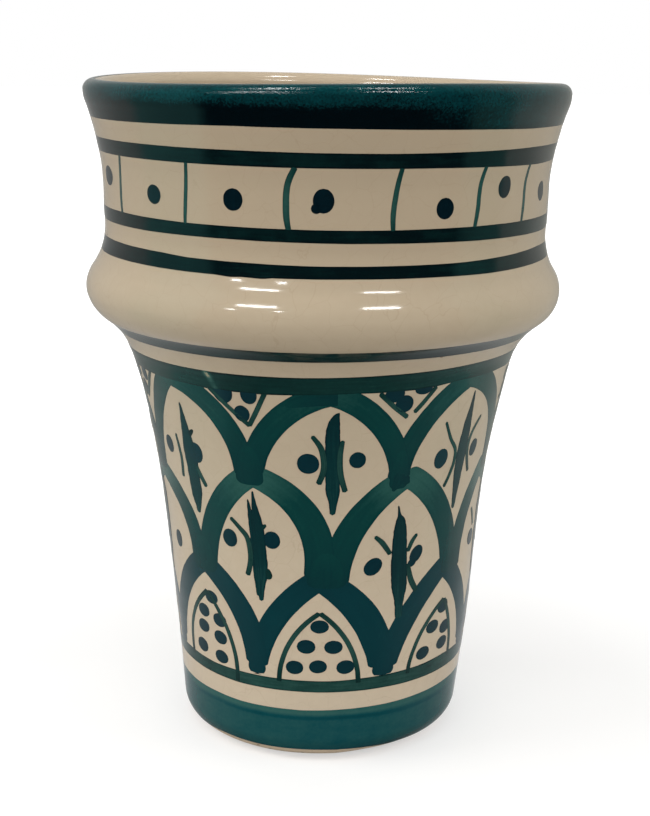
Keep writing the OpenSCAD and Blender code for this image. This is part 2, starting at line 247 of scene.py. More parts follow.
def grid_piece(name, points, closed=True):
    """A mesh over rows of points round the cup, shut along the other way too unless it ends on the axis."""
    index = np.arange(points.shape[0] * points.shape[1]).reshape(points.shape[:2])
    beside = np.roll(index, -1, axis=0)
    corners = (index, beside, np.roll(beside, -1, axis=1), np.roll(index, -1, axis=1))
    faces = np.stack(corners, axis=-1)
    if not closed:
        faces = faces[:, :-1]
    mesh = bpy.data.meshes.new(name)
    mesh.from_pydata(points.reshape(-1, 3).tolist(), [], faces.reshape(-1, 4).tolist())
    return add(name, mesh)


def lathe(name, stations, around, ring, closed=True):
    """Turns a loop of stations round the axis and closes its poles."""
    turns = np.linspace(0, 2 * np.pi, around, endpoint=False)[:, None]
    piece = grid_piece(name, thrown(*stations.T[:, None, :], turns, ring), closed)
    mending = bmesh.new()
    mending.from_mesh(piece.data)
    bmesh.ops.remove_doubles(mending, verts=mending.verts, dist=SAME_POINT * MM)
    bmesh.ops.recalc_face_normals(mending, faces=mending.faces)
    mending.to_mesh(piece.data)
    mending.free()
    piece.data.shade_smooth()
    return piece


def shade(red, green, blue):
    """A colour as it looks, 0 to 255, made linear for a shader."""
    parts = [c / 255 for c in (red, green, blue)]
    return (*[c / 12.92 if c < 0.04045 else ((c + 0.055) / 1.055) ** 2.4 for c in parts], 1)


def place(tree, kind, feeds=None, **settings):
    """Adds a node, and feeds its inputs with values or with other nodes' outputs."""
    node = tree.nodes.new(kind)
    for key, value in settings.items():
        setattr(node, key, value)
    for key, value in (feeds or {}).items():
        if isinstance(value, bpy.types.NodeSocket):
            tree.links.new(value, node.inputs[key])
        else:
            node.inputs[key].default_value = value
    return node


def reckon(tree, operation, *terms, clamp=False):
    """A sum done in the tree."""
    node = place(tree, "ShaderNodeMath", dict(enumerate(terms)), operation=operation, use_clamp=clamp)
    return node.outputs[0]


def blend(tree, share, first, second):
    """First colour changing into the second as the share grows."""
    return place(tree, "ShaderNodeMix", {0: share, 6: first, 7: second}, data_type="RGBA").outputs[2]


def noise(tree, where, scale, detail):
    """Soft clouds from 0 to 1."""
    return place(tree, "ShaderNodeTexNoise", {"Vector": where, "Scale": scale, "Detail": detail}).outputs[0]


def ranged(tree, value, low, high, start=0.0, end=1.0, **settings):
    """A value that goes from the start to the end while another goes from low to high."""
    feeds = {0: value, 1: low, 2: high, 3: start, 4: end}
    return place(tree, "ShaderNodeMapRange", feeds, **settings).outputs[0]


def axis_distance(tree, parts):
    """Distance from the cup's axis."""
    squares = [reckon(tree, "MULTIPLY", parts[k], parts[k]) for k in (0, 1)]
    return reckon(tree, "SQRT", reckon(tree, "ADD", *squares))


def finish(name):
    """A new material, with the tree to fill in."""
    material = bpy.data.materials.new(name)
    material.use_nodes = True
    material.node_tree.nodes.clear()
    return material, material.node_tree


def surface(tree, feeds):
    shader = place(tree, "ShaderNodeBsdfPrincipled", feeds)
    place(tree, "ShaderNodeOutputMaterial", {"Surface": shader.outputs[0]})


def bare_clay():
    """Matt buff clay with grit, iron specks and the fine rings of the turning tool."""
    material, tree = finish("bare_clay")
    where = place(tree, "ShaderNodeTexCoord").outputs["Object"]
    grit = noise(tree, where, GRIT_SCALE, 6.0)
    cloud = noise(tree, where, CLAY_CLOUDS, 3.0)
    iron = place(tree, "ShaderNodeTexVoronoi", {"Vector": where, "Scale": SPECK_SCALE}).outputs["Distance"]
    speck = reckon(tree, "LESS_THAN", iron, SPECK_SIZE)
    part = place(tree, "ShaderNodeSeparateXYZ", {0: where}).outputs
    way = reckon(tree, "ADD", axis_distance(tree, part), part[2])
    tool = reckon(tree, "SINE", reckon(tree, "MULTIPLY", way, TOOL_RINGS))
    tint = blend(tree, cloud, shade(218, 196, 168), shade(232, 213, 188))
    tint = blend(tree, reckon(tree, "MULTIPLY", grit, 0.3), tint, shade(164, 138, 112))
    tint = blend(tree, reckon(tree, "MULTIPLY", speck, 0.55), tint, shade(96, 70, 50))
    height = reckon(tree, "ADD", grit, reckon(tree, "MULTIPLY", tool, 0.25))
    bump = place(tree, "ShaderNodeBump", {"Height": height, "Strength": 0.6, "Distance": GRIT_DEPTH * MM})
    rough = reckon(tree, "ADD", 0.72, reckon(tree, "MULTIPLY", grit, 0.2))
    surface(tree, {"Base Color": tint, "Roughness": rough, "Normal": bump.outputs[0]})
    return material


# The clay under the coats is never seen, so it keeps every third station and fewer turns
CLAY_SKIP = 3
CLAY_AROUND = 192
hidden_outside = shifted(outside[outside[:, 1] > BARE_H], -GLAZE)
hidden_inside = shifted(inside, -GLAZE)
recess = np.array([(0, RECESS_DEPTH, -90), (RECESS_R - RECESS_SLOPE, RECESS_DEPTH, -90),
                   (RECESS_R, 0, -90), ((RECESS_R + foot_flat_r) / 2, 0, -90)])
bare_foot = outside[outside[:, 1] < BARE_H]
bare_foot[:, 0] -= BARE_DROP * np.cos(np.radians(bare_foot[:, 2]))
clay_loop = np.vstack((recess, bare_foot, hidden_outside[::CLAY_SKIP], hidden_inside[1::CLAY_SKIP],
                       hidden_inside[-1]))
clay = lathe("turned_clay", clay_loop, CLAY_AROUND, 0.0, closed=False)
clay.data.materials.append(bare_clay())
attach(clay, "root")
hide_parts("clay_body")


# Cream glaze
# An opaque cream tin glaze, poured inside and dipped outside, about 0.4 mm thick and fired glossy.
# It ends above the foot, has a few iron specks, and is very finely crazed.

OUTER_AROUND = 304
INNER_AROUND = 240
# The side that lies on the clay keeps every sixth station
COAT_SKIP = 6
# Where the glaze was wiped off, in degrees round the cup and mm up
GLAZE_END = ((-90, 1.7), (-60, 1.7), (-44, 2.1), (-26, 1.95), (0, 2.0), (10, 1.9), (22, 1.45), (34, 1.0),
             (70, 0.9), (140, 1.3), (220, 1.6))
WIPED_BELOW = 6.0
# Over the upper heights the cream darkens as painted shade, and over the lower ones it lightens as painted
# light
COLLAR_SHADE_FROM = 66.0
COLLAR_SHADE_FULL = 88.0
FOOT_LIGHT_FROM = 55.0
FOOT_LIGHT_FULL = 12.0
# The glaze's grain: how fine its clouds, mottle, crazing and iron flecks are, how far the crazing bends,
# how wide a crack and a fleck are, and the share of flecks that don't show
GLAZE_CLOUDS = 55.0
GLAZE_MOTTLE = 700.0
CRAZE_SCALE = 260.0
CRAZE_BEND = 0.012
CRACK_WIDTH = 0.009
FLECK_SCALE = 95.0
FLECK_SIZE = 0.026
FLECKS_LEFT_OUT = 0.55
# The fired gloss is very slightly rippled
PEEL_SCALE = 260.0
PEEL_STRENGTH = 0.35
PEEL_DEPTH = 0.05


def cream_glaze(name, deep, light, collar, foot):
    """Glossy cream with clouds, faint crazing and iron specks, darkened on the collar as painted shade and
    lightened towards the foot as painted light.
    """
    material, tree = finish(name)
    where = place(tree, "ShaderNodeTexCoord").outputs["Object"]
    cloud = noise(tree, where, GLAZE_CLOUDS, 5.0)
    mottle = noise(tree, where, GLAZE_MOTTLE, 4.0)
    up = place(tree, "ShaderNodeSeparateXYZ", {0: where}).outputs[2]
    # Painted shade darkens the cream up the collar, and painted light lightens it down towards the foot
    collar_shade = ranged(tree, up, COLLAR_SHADE_FROM * MM, COLLAR_SHADE_FULL * MM)
    run = ranged(tree, up, FOOT_LIGHT_FULL * MM, FOOT_LIGHT_FROM * MM, 1.0, 0.0)
    tint = blend(tree, collar_shade, blend(tree, cloud, shade(*deep), shade(*light)), shade(*collar))
    tint = blend(tree, run, tint, shade(*foot))
    tint = blend(tree, reckon(tree, "MULTIPLY", mottle, 0.26), tint, shade(172, 152, 126))
    shift = reckon(tree, "MULTIPLY", cloud, CRAZE_BEND)
    bend = place(tree, "ShaderNodeVectorMath", {0: where, 1: shift}).outputs[0]
    craze = place(tree, "ShaderNodeTexVoronoi", {"Vector": bend, "Scale": CRAZE_SCALE},
                  feature="DISTANCE_TO_EDGE")
    crack = reckon(tree, "LESS_THAN", craze.outputs["Distance"], CRACK_WIDTH)
    aged = reckon(tree, "MULTIPLY", crack, reckon(tree, "MULTIPLY", cloud, 0.2))
    tint = blend(tree, aged, tint, shade(138, 112, 84))
    iron = place(tree, "ShaderNodeTexVoronoi", {"Vector": where, "Scale": FLECK_SCALE})
    fleck = reckon(tree, "LESS_THAN", iron.outputs["Distance"], FLECK_SIZE)
    chosen = place(tree, "ShaderNodeSeparateColor", {0: iron.outputs["Color"]}).outputs[0]
    fleck = reckon(tree, "MULTIPLY", fleck, reckon(tree, "GREATER_THAN", chosen, FLECKS_LEFT_OUT))
    tint = blend(tree, reckon(tree, "MULTIPLY", fleck, 0.75), tint, shade(118, 80, 52))
    peel = noise(tree, where, PEEL_SCALE, 2.0)
    bump = place(tree, "ShaderNodeBump",
                 {"Height": peel, "Strength": PEEL_STRENGTH, "Distance": PEEL_DEPTH * MM})
    rough = reckon(tree, "ADD", 0.07, reckon(tree, "MULTIPLY", mottle, 0.06))
    surface(tree, {"Base Color": tint, "Roughness": rough, "Normal": bump.outputs[0]})
    return material


def keep_values(mesh, name, values, kind="FLOAT"):
    """Stores a number or a vector for each point of a mesh."""
    field = mesh.attributes.new(name, kind, "POINT")
    key = "value" if kind == "FLOAT" else "vector"
    field.data.foreach_set(key, np.ravel(values).astype(np.float32))


glaze_start = travel_at(GLAZE_LINE_H)
rising = travel[:crest_index + 1]
coat_out = np.concatenate(([glaze_start], rising[rising > glaze_start]))
coat_way = np.concatenate((coat_out, coat_out[::-COAT_SKIP], coat_out[:1]))
coat_lift = np.concatenate((np.zeros(len(coat_out)), np.full(len(coat_way) - len(coat_out), -GLAZE)))
coat_turns = np.linspace(0, 2 * np.pi, OUTER_AROUND, endpoint=False)[:, None]
wiped = travel_at(round_cup(GLAZE_END, coat_turns)) - glaze_start
coat_way = coat_way + wiped * (1 - smooth(glaze_start, travel_at(WIPED_BELOW), coat_way))
outer_coat = grid_piece("outer_coat", on_wall(coat_way, coat_turns, coat_lift))
outer_coat.data.shade_smooth()
inner_loop = np.vstack((inside, hidden_inside[::-COAT_SKIP], hidden_inside[:1]))
inner_coat = lathe("inner_coat", inner_loop, INNER_AROUND, INNER_RING)
# The last two colours of each cream are its painted shade on the collar and its painted light towards the
# foot
outer_cream = cream_glaze("outer_cream_glaze", (190, 174, 150), (199, 184, 159), (177, 161, 137),
                          (211, 195, 171))
inner_cream = cream_glaze("inner_cream_glaze", (189, 173, 149), (198, 182, 158), (193, 177, 153),
                          (198, 182, 158))
for coat, node, cream in ((outer_coat, "outer_glaze", outer_cream),
                          (inner_coat, "inner_glaze", inner_cream)):
    coat.data.materials.append(cream)
    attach(coat, "root")
    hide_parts(node)

# The brush strokes below take the wall's own normals, so that paint under the gloss shows no ridge
normals = np.empty(len(outer_coat.data.vertices) * 3, np.float32)
outer_coat.data.vertices.foreach_get("normal", normals)
keep_values(outer_coat.data, "wall_normal", normals, "FLOAT_VECTOR")


# Rim, frieze, body and foot bands
# Copper green brushed on raw glaze while the cup turned on a wheel, then fired into the glaze with it.
# The rim and foot bands are broad and streaky, the lines between them thin and dark, and all of them
# waver a little.

BAND_AROUND = 480
BAND_CHORD = 0.35
FILM = 0.016
FILM_EDGE = 0.14
FILM_SINK = 0.05
OVER_CREST = 0.3
# How much the edges waver, in mm, and the load of paint along them, in so many waves round the cup
EDGE_WAVER = 0.035
LOAD_WAVER = 0.07
WAVES_ROUND = (1, 2, 3, 5, 8, 13, 21, 34, 55)
# How densely the streaks of a brush lie along and across it, and how much they bend
HAIR_ALONG = 130.0
HAIR_ACROSS = 3.2
HAIR_BEND = 60.0
# How fine the blotches are, the loads at which paint is thin and full, and the share of the half width from
# which it gathers at the edge
BLOTCH_SCALE = 210.0
THIN_AT = 0.18
FULL_AT = 0.6
EDGE_FROM = 0.72
# Paint so thin that the cream shows through it
WASH = shade(150, 148, 122)


def wall_normal(distance, turn):
    step, twist = 0.05, 0.002
    along = on_wall(distance + step, turn) - on_wall(distance - step, turn)
    beside = on_wall(distance, turn + twist) - on_wall(distance, turn - twist)
    normal = np.cross(beside, along)
    return normal / np.linalg.norm(normal, axis=-1, keepdims=True)


def wander(draw, size):
    """A slow unevenness round the cup, as a function of the turn."""
    waves = [(k, draw.uniform(-size, size) / math.sqrt(k), draw.uniform(0, 2 * math.pi))
             for k in WAVES_ROUND]
    return lambda turn: sum(a * np.sin(k * turn + p) for k, a, p in waves)


def band(name, node, slot, paint, low, high, load, lift=0.0):
    """A painted ring between two edges, whose load of paint may change with the turn and upwards."""
    draw = random.Random(name)
    sizes = (EDGE_WAVER, EDGE_WAVER, LOAD_WAVER)
    low_waver, high_waver, load_waver = (wander(draw, size) for size in sizes)
    turns = np.linspace(0, 2 * np.pi, BAND_AROUND, endpoint=False)[:, None]
    start = travel_at(round_cup(low, turns)) + low_waver(turns)
    top = travel_at(round_cup(high, turns)) if high else travel[crest_index] + OVER_CREST
    end = top + high_waver(turns)
    width = np.mean(end - start)
    count = math.ceil(width / BAND_CHORD) + 1
    share = np.concatenate(([0], np.linspace(FILM_EDGE / width, 1 - FILM_EDGE / width, count), [1]))
    rise = np.full(len(share), FILM + lift)
    rise[[0, -1]] = 0
    share = np.concatenate((share, share[::-1]))
    rise = np.concatenate((rise, np.full(len(rise), -FILM_SINK)))
    distance = start + share * (end - start)
    piece = grid_piece(name, on_wall(distance, turns, rise))
    mesh = piece.data
    across = np.broadcast_to(2 * share - 1, distance.shape)
    keep_values(mesh, "across", across)
    laid = load(turns, share) if callable(load) else load
    keep_values(mesh, "load", laid + load_waver(turns) * np.ones_like(distance))
    way = HAIR_ALONG * RIM_OUT * MM * np.ones_like(distance)
    hairs = np.stack((way * np.sin(turns), -way * np.cos(turns), HAIR_ACROSS * across), axis=-1)
    keep_values(mesh, "hairs", hairs, "FLOAT_VECTOR")
    mesh.shade_smooth()
    facing_out = wall_normal(distance, turns)
    facing_out[:, len(rise) // 2:] *= -1
    mesh.normals_split_custom_set_from_vertices(facing_out.reshape(-1, 3).tolist())
    mesh.materials.append(paint)
    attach(piece, "root")
    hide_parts(node)


def brush_paint(name, thin, full, pooled, streaky, outline, speckle=0.14, grain=1900.0, pits=0.0):
    """Glossy copper green: pale where the brush ran dry, darker where it pooled, dark along its edges."""
    material, tree = finish(name)

    def value(key, kind="Fac"):
        return place(tree, "ShaderNodeAttribute", attribute_name=key).outputs[kind]

    where = place(tree, "ShaderNodeTexCoord").outputs["Object"]
    bent = place(tree, "ShaderNodeVectorMath", {0: where, 1: (HAIR_BEND, HAIR_BEND, HAIR_BEND)},
                 operation="MULTIPLY").outputs[0]
    bent = place(tree, "ShaderNodeVectorMath", {0: value("hairs", "Vector"), 1: bent}).outputs[0]
    streak = noise(tree, bent, 1.0, 3.0)
    blotch = noise(tree, where, BLOTCH_SCALE, 3.0)
    fine = noise(tree, where, grain, 3.0)
    edge = ranged(tree, reckon(tree, "ABSOLUTE", value("across")), EDGE_FROM, 1.0,
                  interpolation_type="SMOOTHSTEP")
    depth = value("load")
    for cloud, strength in ((streak, streaky), (blotch, streaky * 0.6), (fine, speckle)):
        depth = reckon(tree, "MULTIPLY_ADD", reckon(tree, "SUBTRACT", cloud, 0.5), strength, depth)
    depth = reckon(tree, "MULTIPLY_ADD", edge, outline, depth)
    ramp = place(tree, "ShaderNodeValToRGB", {0: depth})
    stops = ramp.color_ramp.elements
    stops[0].color = WASH
    stops[1].color = shade(*pooled)
    stops.new(THIN_AT).color = shade(*thin)
    stops.new(FULL_AT).color = shade(*full)
    ripple = noise(tree, where, PEEL_SCALE, 2.0)
    shallow = reckon(tree, "SUBTRACT", 1.0, value("load"), clamp=True)
    ripple = reckon(tree, "MULTIPLY_ADD", reckon(tree, "MULTIPLY", fine, shallow), pits, ripple)
    bump = place(tree, "ShaderNodeBump",
                 {"Height": ripple, "Strength": PEEL_STRENGTH, "Distance": PEEL_DEPTH * MM})
    rough = reckon(tree, "MULTIPLY_ADD", fine, 0.05, 0.07)
    surface(tree, {"Base Color": ramp.outputs[0], "Roughness": rough, "Specular IOR Level": 0.42,
                   "Normal": bump.outputs[0]})
    return material


scale_green = brush_paint("green_paint", (48, 94, 86), (9, 60, 58), (5, 42, 48), 0.22, 0.1)
low_green = brush_paint("low_green_paint", (44, 90, 88), (8, 55, 61), (5, 46, 53), 0.2, 0.08)
foot_green = brush_paint("foot_green_paint", (54, 98, 92), (8, 71, 77), (4, 46, 54), 0.16, 0.1)
rim_green = brush_paint("rim_green_paint", (22, 82, 82), (3, 54, 58), (0, 9, 14), 0.3, 0.1,
                        speckle=0.8, grain=3000.0, pits=8.0)
dark_green = brush_paint("dark_green_paint", (52, 92, 84), (15, 52, 49), (2, 16, 19), 0.28, 0.2)

# The edges of each ring as they were brushed, in degrees round the cup and mm up
RIM_LOW = ((-60, 103.9), (-20, 104.1), (7, 103.9), (38, 103.7), (54, 103.5), (100, 103.6), (250, 103.8))
TOP_LINE = (((-68, 98.45), (-10, 98.4), (26, 98.35), (40, 98.2), (60, 97.95), (180, 98.2)),
            ((-65, 100.8), (-25, 100.7), (14, 100.55), (40, 100.6), (57, 100.7), (180, 100.6)))
UNDER_LINE = (((-63, 87.6), (-20, 87.65), (15, 87.5), (36, 87.35), (67, 87.1), (180, 87.4)),
              ((-62, 89.75), (-34, 89.6), (8, 89.5), (35, 89.5), (66, 89.45), (180, 89.6)))
BULGE_LINE = (((-74, 82.5), (-50, 82.5), (-26, 82.4), (-22, 82.25), (-19, 82.35), (-14, 82.25), (-12, 82.4),
               (8, 82.45), (42, 82.3), (64, 82.4), (180, 82.4)),
              ((-62, 84.9), (-42, 84.75), (-34, 84.5), (1, 84.27), (35, 84.3), (54, 84.6), (66, 84.8),
               (180, 84.6)))
WAIST_LINE = (((-57, 69.4), (-28, 69.5), (2, 69.7), (16, 69.8), (62, 69.8), (180, 69.6)),
              ((-62, 71.45), (-12, 71.4), (8, 71.5), (36, 71.75), (54, 71.75), (180, 71.5)))
HEAD_BAND = (((-90, 64.0), (-34, 63.7), (-18, 63.7), (0, 64.0), (10, 64.25), (26, 64.3), (33, 64.5),
              (40, 64.85), (64, 64.9), (90, 64.4), (180, 64.0)),
             ((-64, 66.75), (-30, 66.67), (-6, 66.85), (18, 67.2), (42, 67.45), (54, 67.5), (180, 67.0)))
BASE_LINE = (((-64, 13.35), (-32, 12.9), (-7, 12.95), (28, 13.1), (56, 13.2), (180, 13.1)),
             ((-62, 15.55), (-44, 15.1), (-19, 15.0), (4, 15.05), (16, 15.3), (40, 15.6), (54, 15.95),
              (180, 15.2)))
FOOT_HIGH = ((-66, 9.9), (-46, 9.8), (-32, 9.6), (-7, 9.6), (16, 9.9), (41, 10.2), (58, 10.4), (180, 9.8))
# A scuff has rubbed the colour off the head band, in degrees round the cup
SCUFF = 328.9
SCUFF_SLANT = 2.4
SCUFF_WIDE = 0.95
# How heavily the lower part of the rim is loaded, in degrees round the cup and its load
LOWER_RIM_LOAD = ((-90, 0.9), (-60, 0.95), (-40, 1.2), (15, 1.25), (24, 0.98), (34, 0.9), (45, 0.83),
               (70, 0.8), (120, 1.1), (240, 1.1))
# How far two rings lie over the scales that meet them, in mm
HEAD_LIFT = 0.034
BASE_LIFT = 0.012
lower_rim_edge = wander(random.Random(3), 0.05)


# The rim band is loaded more heavily low down than towards the crest, and the line between the two wanders
# round the cup
def rim_load(turn, share):
    second = round_cup(LOWER_RIM_LOAD, turn)
    first = 0.78 - 0.2 * smooth(0.5, 0.85, share)
    return second + (first - second) * smooth(0.31, 0.53, share + lower_rim_edge(turn))


def head_load(turn, share):
    rubbed = 0.8 * bump_at(share, 0.86, 0.42) + 0.35 * bump_at(share, 0.1, 0.15)
    return 0.61 - rubbed * bump_at(np.degrees(turn) + SCUFF_SLANT * share, SCUFF, SCUFF_WIDE)


def foot_load(turn, share):
    """Even, with a darker line and a thin strip above it on the front."""
    top = 0.2 * bump_at(share, 0.81, 0.035) - 0.34 * smooth(0.84, 0.93, share)
    return 0.5 + top * ((1 + np.cos(turn)) / 2) ** 2


band("rim_brush_band", "rim_band", "green_paint", rim_green, RIM_LOW, None, rim_load)
for name, node, edges, load, lift in (
        ("frieze_top_line", "frieze_upper_line", TOP_LINE, 0.95, 0.0),
        ("frieze_under_line", "frieze_lower_line", UNDER_LINE, 0.95, 0.0),
        ("bulge_line", "shoulder_line", BULGE_LINE, 0.95, 0.0),
        ("waist_brush_line", "waist_line", WAIST_LINE, 0.78, 0.0),
        ("head_brush_band", "head_band", HEAD_BAND, head_load, HEAD_LIFT),
        ("base_brush_line", "base_line", BASE_LINE, 0.49, BASE_LIFT)):
    band(name, node, "dark_green_paint", dark_green, *edges, load, lift)
band("foot_brush_band", "foot_band", "green_paint", foot_green, GLAZE_END, FOOT_HIGH, foot_load)


# Frieze strokes and dots
# Sixteen upright strokes of a fine brush part the frieze into panels, each with one round dab of dark
# paint. A stroke is laid flat, then wrapped on the glazed wall.

BRUSH_SIDES = 16
PULL_STEPS = 16
FAR_OUT = 0.2
# The half width over which ragged edges and the film die out, how steep its flanks are, and the distance
# at which points of a stroke are one, in mm
RAGGED_FROM = 0.2
FULL_FROM = 0.125
FLANK = 3.0
STROKE_POINT = 0.002
BRUSH_INPUTS = (("Marks", "Geometry"), ("Wall", "Object"), ("Spacing", "Float"), ("Ragged", "Float"),
                ("Grain", "Float"), ("Film", "Float"), ("Sink", "Float"), ("Paint", "Material"))


def brush_tree():
    """Sweeps each line of marks to a closed stroke with round ends and wraps it on the wall."""
    tree = bpy.data.node_groups.new("brush", "GeometryNodeTree")
    for name, kind in BRUSH_INPUTS:
        tree.interface.new_socket(name, in_out="INPUT", socket_type="NodeSocket" + kind)
    tree.interface.new_socket("Strokes", in_out="OUTPUT", socket_type="NodeSocketGeometry")
    given = place(tree, "NodeGroupInput").outputs

    def mark(name):
        return place(tree, "GeometryNodeInputNamedAttribute", {"Name": name}, data_type="FLOAT").outputs[0]

    def keep(shape, name, value, kind="FLOAT"):
        return place(tree, "GeometryNodeStoreNamedAttribute", {0: shape, 2: name, 3: value},
                     data_type=kind, domain="POINT").outputs[0]

    def split(vector):
        return place(tree, "ShaderNodeSeparateXYZ", {0: vector}).outputs

    def join(*parts):
        return place(tree, "ShaderNodeCombineXYZ", dict(enumerate(parts))).outputs[0]

    def vector(operation, *terms):
        return place(tree, "ShaderNodeVectorMath", dict(enumerate(terms)), operation=operation).outputs[0]

    # The pull of the brush, narrowing to a round end
    pull = place(tree, "GeometryNodeMeshToCurve", {0: given["Marks"]}).outputs[0]
    pull = place(tree, "GeometryNodeCurveSplineType", {0: pull}, spline_type="CATMULL_ROM").outputs[0]
    pull = place(tree, "GeometryNodeSetSplineResolution", {0: pull, "Resolution": PULL_STEPS}).outputs[0]
    pull = place(tree, "GeometryNodeResampleCurve", {0: pull, "Length": given["Spacing"]},
                 mode="LENGTH").outputs[0]
    gone = place(tree, "GeometryNodeSplineParameter").outputs["Length"]
    whole = place(tree, "GeometryNodeSplineLength").outputs["Length"]
    to_end = reckon(tree, "MINIMUM", gone, reckon(tree, "SUBTRACT", whole, gone))
    shut = reckon(tree, "SUBTRACT", 1.0, reckon(tree, "DIVIDE", to_end, mark("tip")), clamp=True)
    round_end = reckon(tree, "SQRT", reckon(tree, "SUBTRACT", 1.0, reckon(tree, "MULTIPLY", shut, shut)))
    pull = keep(pull, "spread", reckon(tree, "MULTIPLY", mark("half_width"), round_end))
    pull = keep(pull, "along", reckon(tree, "MULTIPLY", gone, HAIR_ALONG))
    pull = place(tree, "GeometryNodeSetCurveNormal", {0: pull}, mode="Z_UP").outputs[0]

    hairs = place(tree, "GeometryNodeCurvePrimitiveCircle", {0: BRUSH_SIDES, 4: 1.0},
                  mode="RADIUS").outputs[0]
    spot = split(place(tree, "GeometryNodeInputPosition").outputs[0])
    hairs = keep(hairs, "across", spot[0])
    hairs = keep(hairs, "up", reckon(tree, "MULTIPLY", spot[1], -1.0))
    stroke_mesh = place(tree, "GeometryNodeCurveToMesh", {0: pull, 1: hairs, 2: mark("spread")}).outputs[0]
    lay = join(mark("along"), reckon(tree, "MULTIPLY", mark("across"), HAIR_ACROSS), mark("turn"))
    stroke_mesh = keep(stroke_mesh, "hairs", lay, "FLOAT_VECTOR")

    # Ragged edges, dying out with the stroke's width
    flat = place(tree, "GeometryNodeInputPosition").outputs[0]
    grain = vector("ADD", flat, join(0.0, 0.0, mark("turn")))
    grain = place(tree, "ShaderNodeTexNoise", {0: grain, 2: given["Grain"], 3: 3.0}).outputs[1]
    share = reckon(tree, "DIVIDE", mark("spread"), reckon(tree, "ADD", mark("spread"), RAGGED_FROM * MM))
    share = reckon(tree, "MULTIPLY", reckon(tree, "ABSOLUTE", mark("across")), share)
    share = reckon(tree, "MULTIPLY", reckon(tree, "MULTIPLY", share, given["Ragged"]), 2.0)
    shake = vector("MULTIPLY", vector("SUBTRACT", grain, (0.5, 0.5, 0.5)), join(share, share, 0.0))
    stroke_mesh = place(tree, "GeometryNodeSetPosition", {0: stroke_mesh, "Offset": shake}).outputs[0]

    # Wrapping: the width runs round the cup at its own height
    wall = place(tree, "GeometryNodeObjectInfo", {0: given["Wall"]},
                 transform_space="ORIGINAL").outputs["Geometry"]
    own_normal = place(tree, "GeometryNodeInputNamedAttribute", {"Name": "wall_normal"},
                       data_type="FLOAT_VECTOR").outputs[0]
    flat_part = split(place(tree, "GeometryNodeInputPosition").outputs[0])

    def meet_wall(turn):
        back = reckon(tree, "MULTIPLY", reckon(tree, "COSINE", turn), -1.0)
        outward = join(reckon(tree, "SINE", turn), back, 0.0)
        start = vector("MULTIPLY", outward, (FAR_OUT, FAR_OUT, FAR_OUT))
        start = vector("ADD", start, join(0.0, 0.0, flat_part[1]))
        inward = vector("MULTIPLY", outward, (-1.0, -1.0, -1.0))
        return place(tree, "GeometryNodeRaycast", {0: wall, 1: own_normal, 2: start, 3: inward, 4: FAR_OUT},
                     data_type="FLOAT_VECTOR", mapping="INTERPOLATED").outputs

    radius = axis_distance(tree, split(meet_wall(mark("turn"))[1]))
    hit = meet_wall(reckon(tree, "ADD", mark("turn"), reckon(tree, "DIVIDE", flat_part[0], radius)))
    stroke_mesh = keep(stroke_mesh, "wall_normal", hit[4], "FLOAT_VECTOR")
    full = reckon(tree, "MULTIPLY", mark("spread"), 1 / (FULL_FROM * MM), clamp=True)
    over = reckon(tree, "MULTIPLY", reckon(tree, "MULTIPLY", mark("up"), FLANK, clamp=True),
                  reckon(tree, "ADD", given["Film"], mark("lift")))
    under = reckon(tree, "MULTIPLY", reckon(tree, "MULTIPLY", mark("up"), -FLANK, clamp=True),
                   given["Sink"])
    height = reckon(tree, "MULTIPLY", reckon(tree, "SUBTRACT", over, under), full)
    raised = vector("ADD", hit[1], vector("MULTIPLY", hit[4], join(height, height, height)))
    stroke_mesh = place(tree, "GeometryNodeSetPosition", {0: stroke_mesh, "Position": raised}).outputs[0]
    stroke_mesh = place(tree, "GeometryNodeMergeByDistance",
                        {0: stroke_mesh, "Distance": STROKE_POINT * MM}).outputs[0]
    stroke_mesh = place(tree, "GeometryNodeSetShadeSmooth", {0: stroke_mesh}).outputs[0]
    stroke_mesh = place(tree, "GeometryNodeRealizeInstances", {0: stroke_mesh}).outputs[0]
    stroke_mesh = place(tree, "GeometryNodeSetMaterial", {0: stroke_mesh, 2: given["Paint"]}).outputs[0]
    place(tree, "NodeGroupOutput", {0: stroke_mesh})
    return tree


brush = brush_tree()
brush_socket = {s.name: s.identifier for s in brush.interface.items_tree if s.in_out == "INPUT"}


def along_path(value, count):
    """One value for the whole stroke, or a few values spread evenly along it."""
    values = np.atleast_1d(value).astype(float)
    given = max(len(values), 2)
    return np.interp(np.linspace(0, 1, count), np.linspace(0, 1, given), np.resize(values, given))


def flat_stroke(turn, path, half, load=0.7, tip=None, lift=0.0):
    """A pull of the brush on the wall unrolled about a turn in degrees: width and height in mm."""
    count = len(path)
    tip = np.max(half) if tip is None else tip
    return {"path": path, "turn": np.full(count, math.radians(turn)),
            "half_width": along_path(half, count) * MM, "load": along_path(load, count),
            "tip": along_path(tip, count) * MM, "lift": np.full(count, lift * MM)}


def unrolled(turn, mark):
    """Degrees round the cup and height, as width and height on the unrolled wall."""
    return radius_at(mark[1]) * math.radians(mark[0] - turn), mark[1]


def stroke(path, half, load=0.7, tip=None, lift=0.0):
    """A pull of the brush through places given in degrees round the cup and mm up."""
    turn = sum(p[0] for p in path) / len(path)
    return flat_stroke(turn, [unrolled(turn, p) for p in path], half, load, tip, lift)


def dab(middle, size, tilt=0.0, load=0.85, lift=0.0):
    """A round touch of the brush, of a width and height in mm, tilted by degrees."""
    turn, height = middle
    wide, tall = size
    along, half = max(wide, tall) / 2, min(wide, tall) / 2
    heading = math.radians(tilt + (0 if wide >= tall else 90))
    step = np.array((math.cos(heading), math.sin(heading))) * along
    path = [tuple(np.array((0, height)) + k * step) for k in (-1, -0.5, 0, 0.5, 1)]
    return flat_stroke(turn, path, half, load, tip=along, lift=lift)


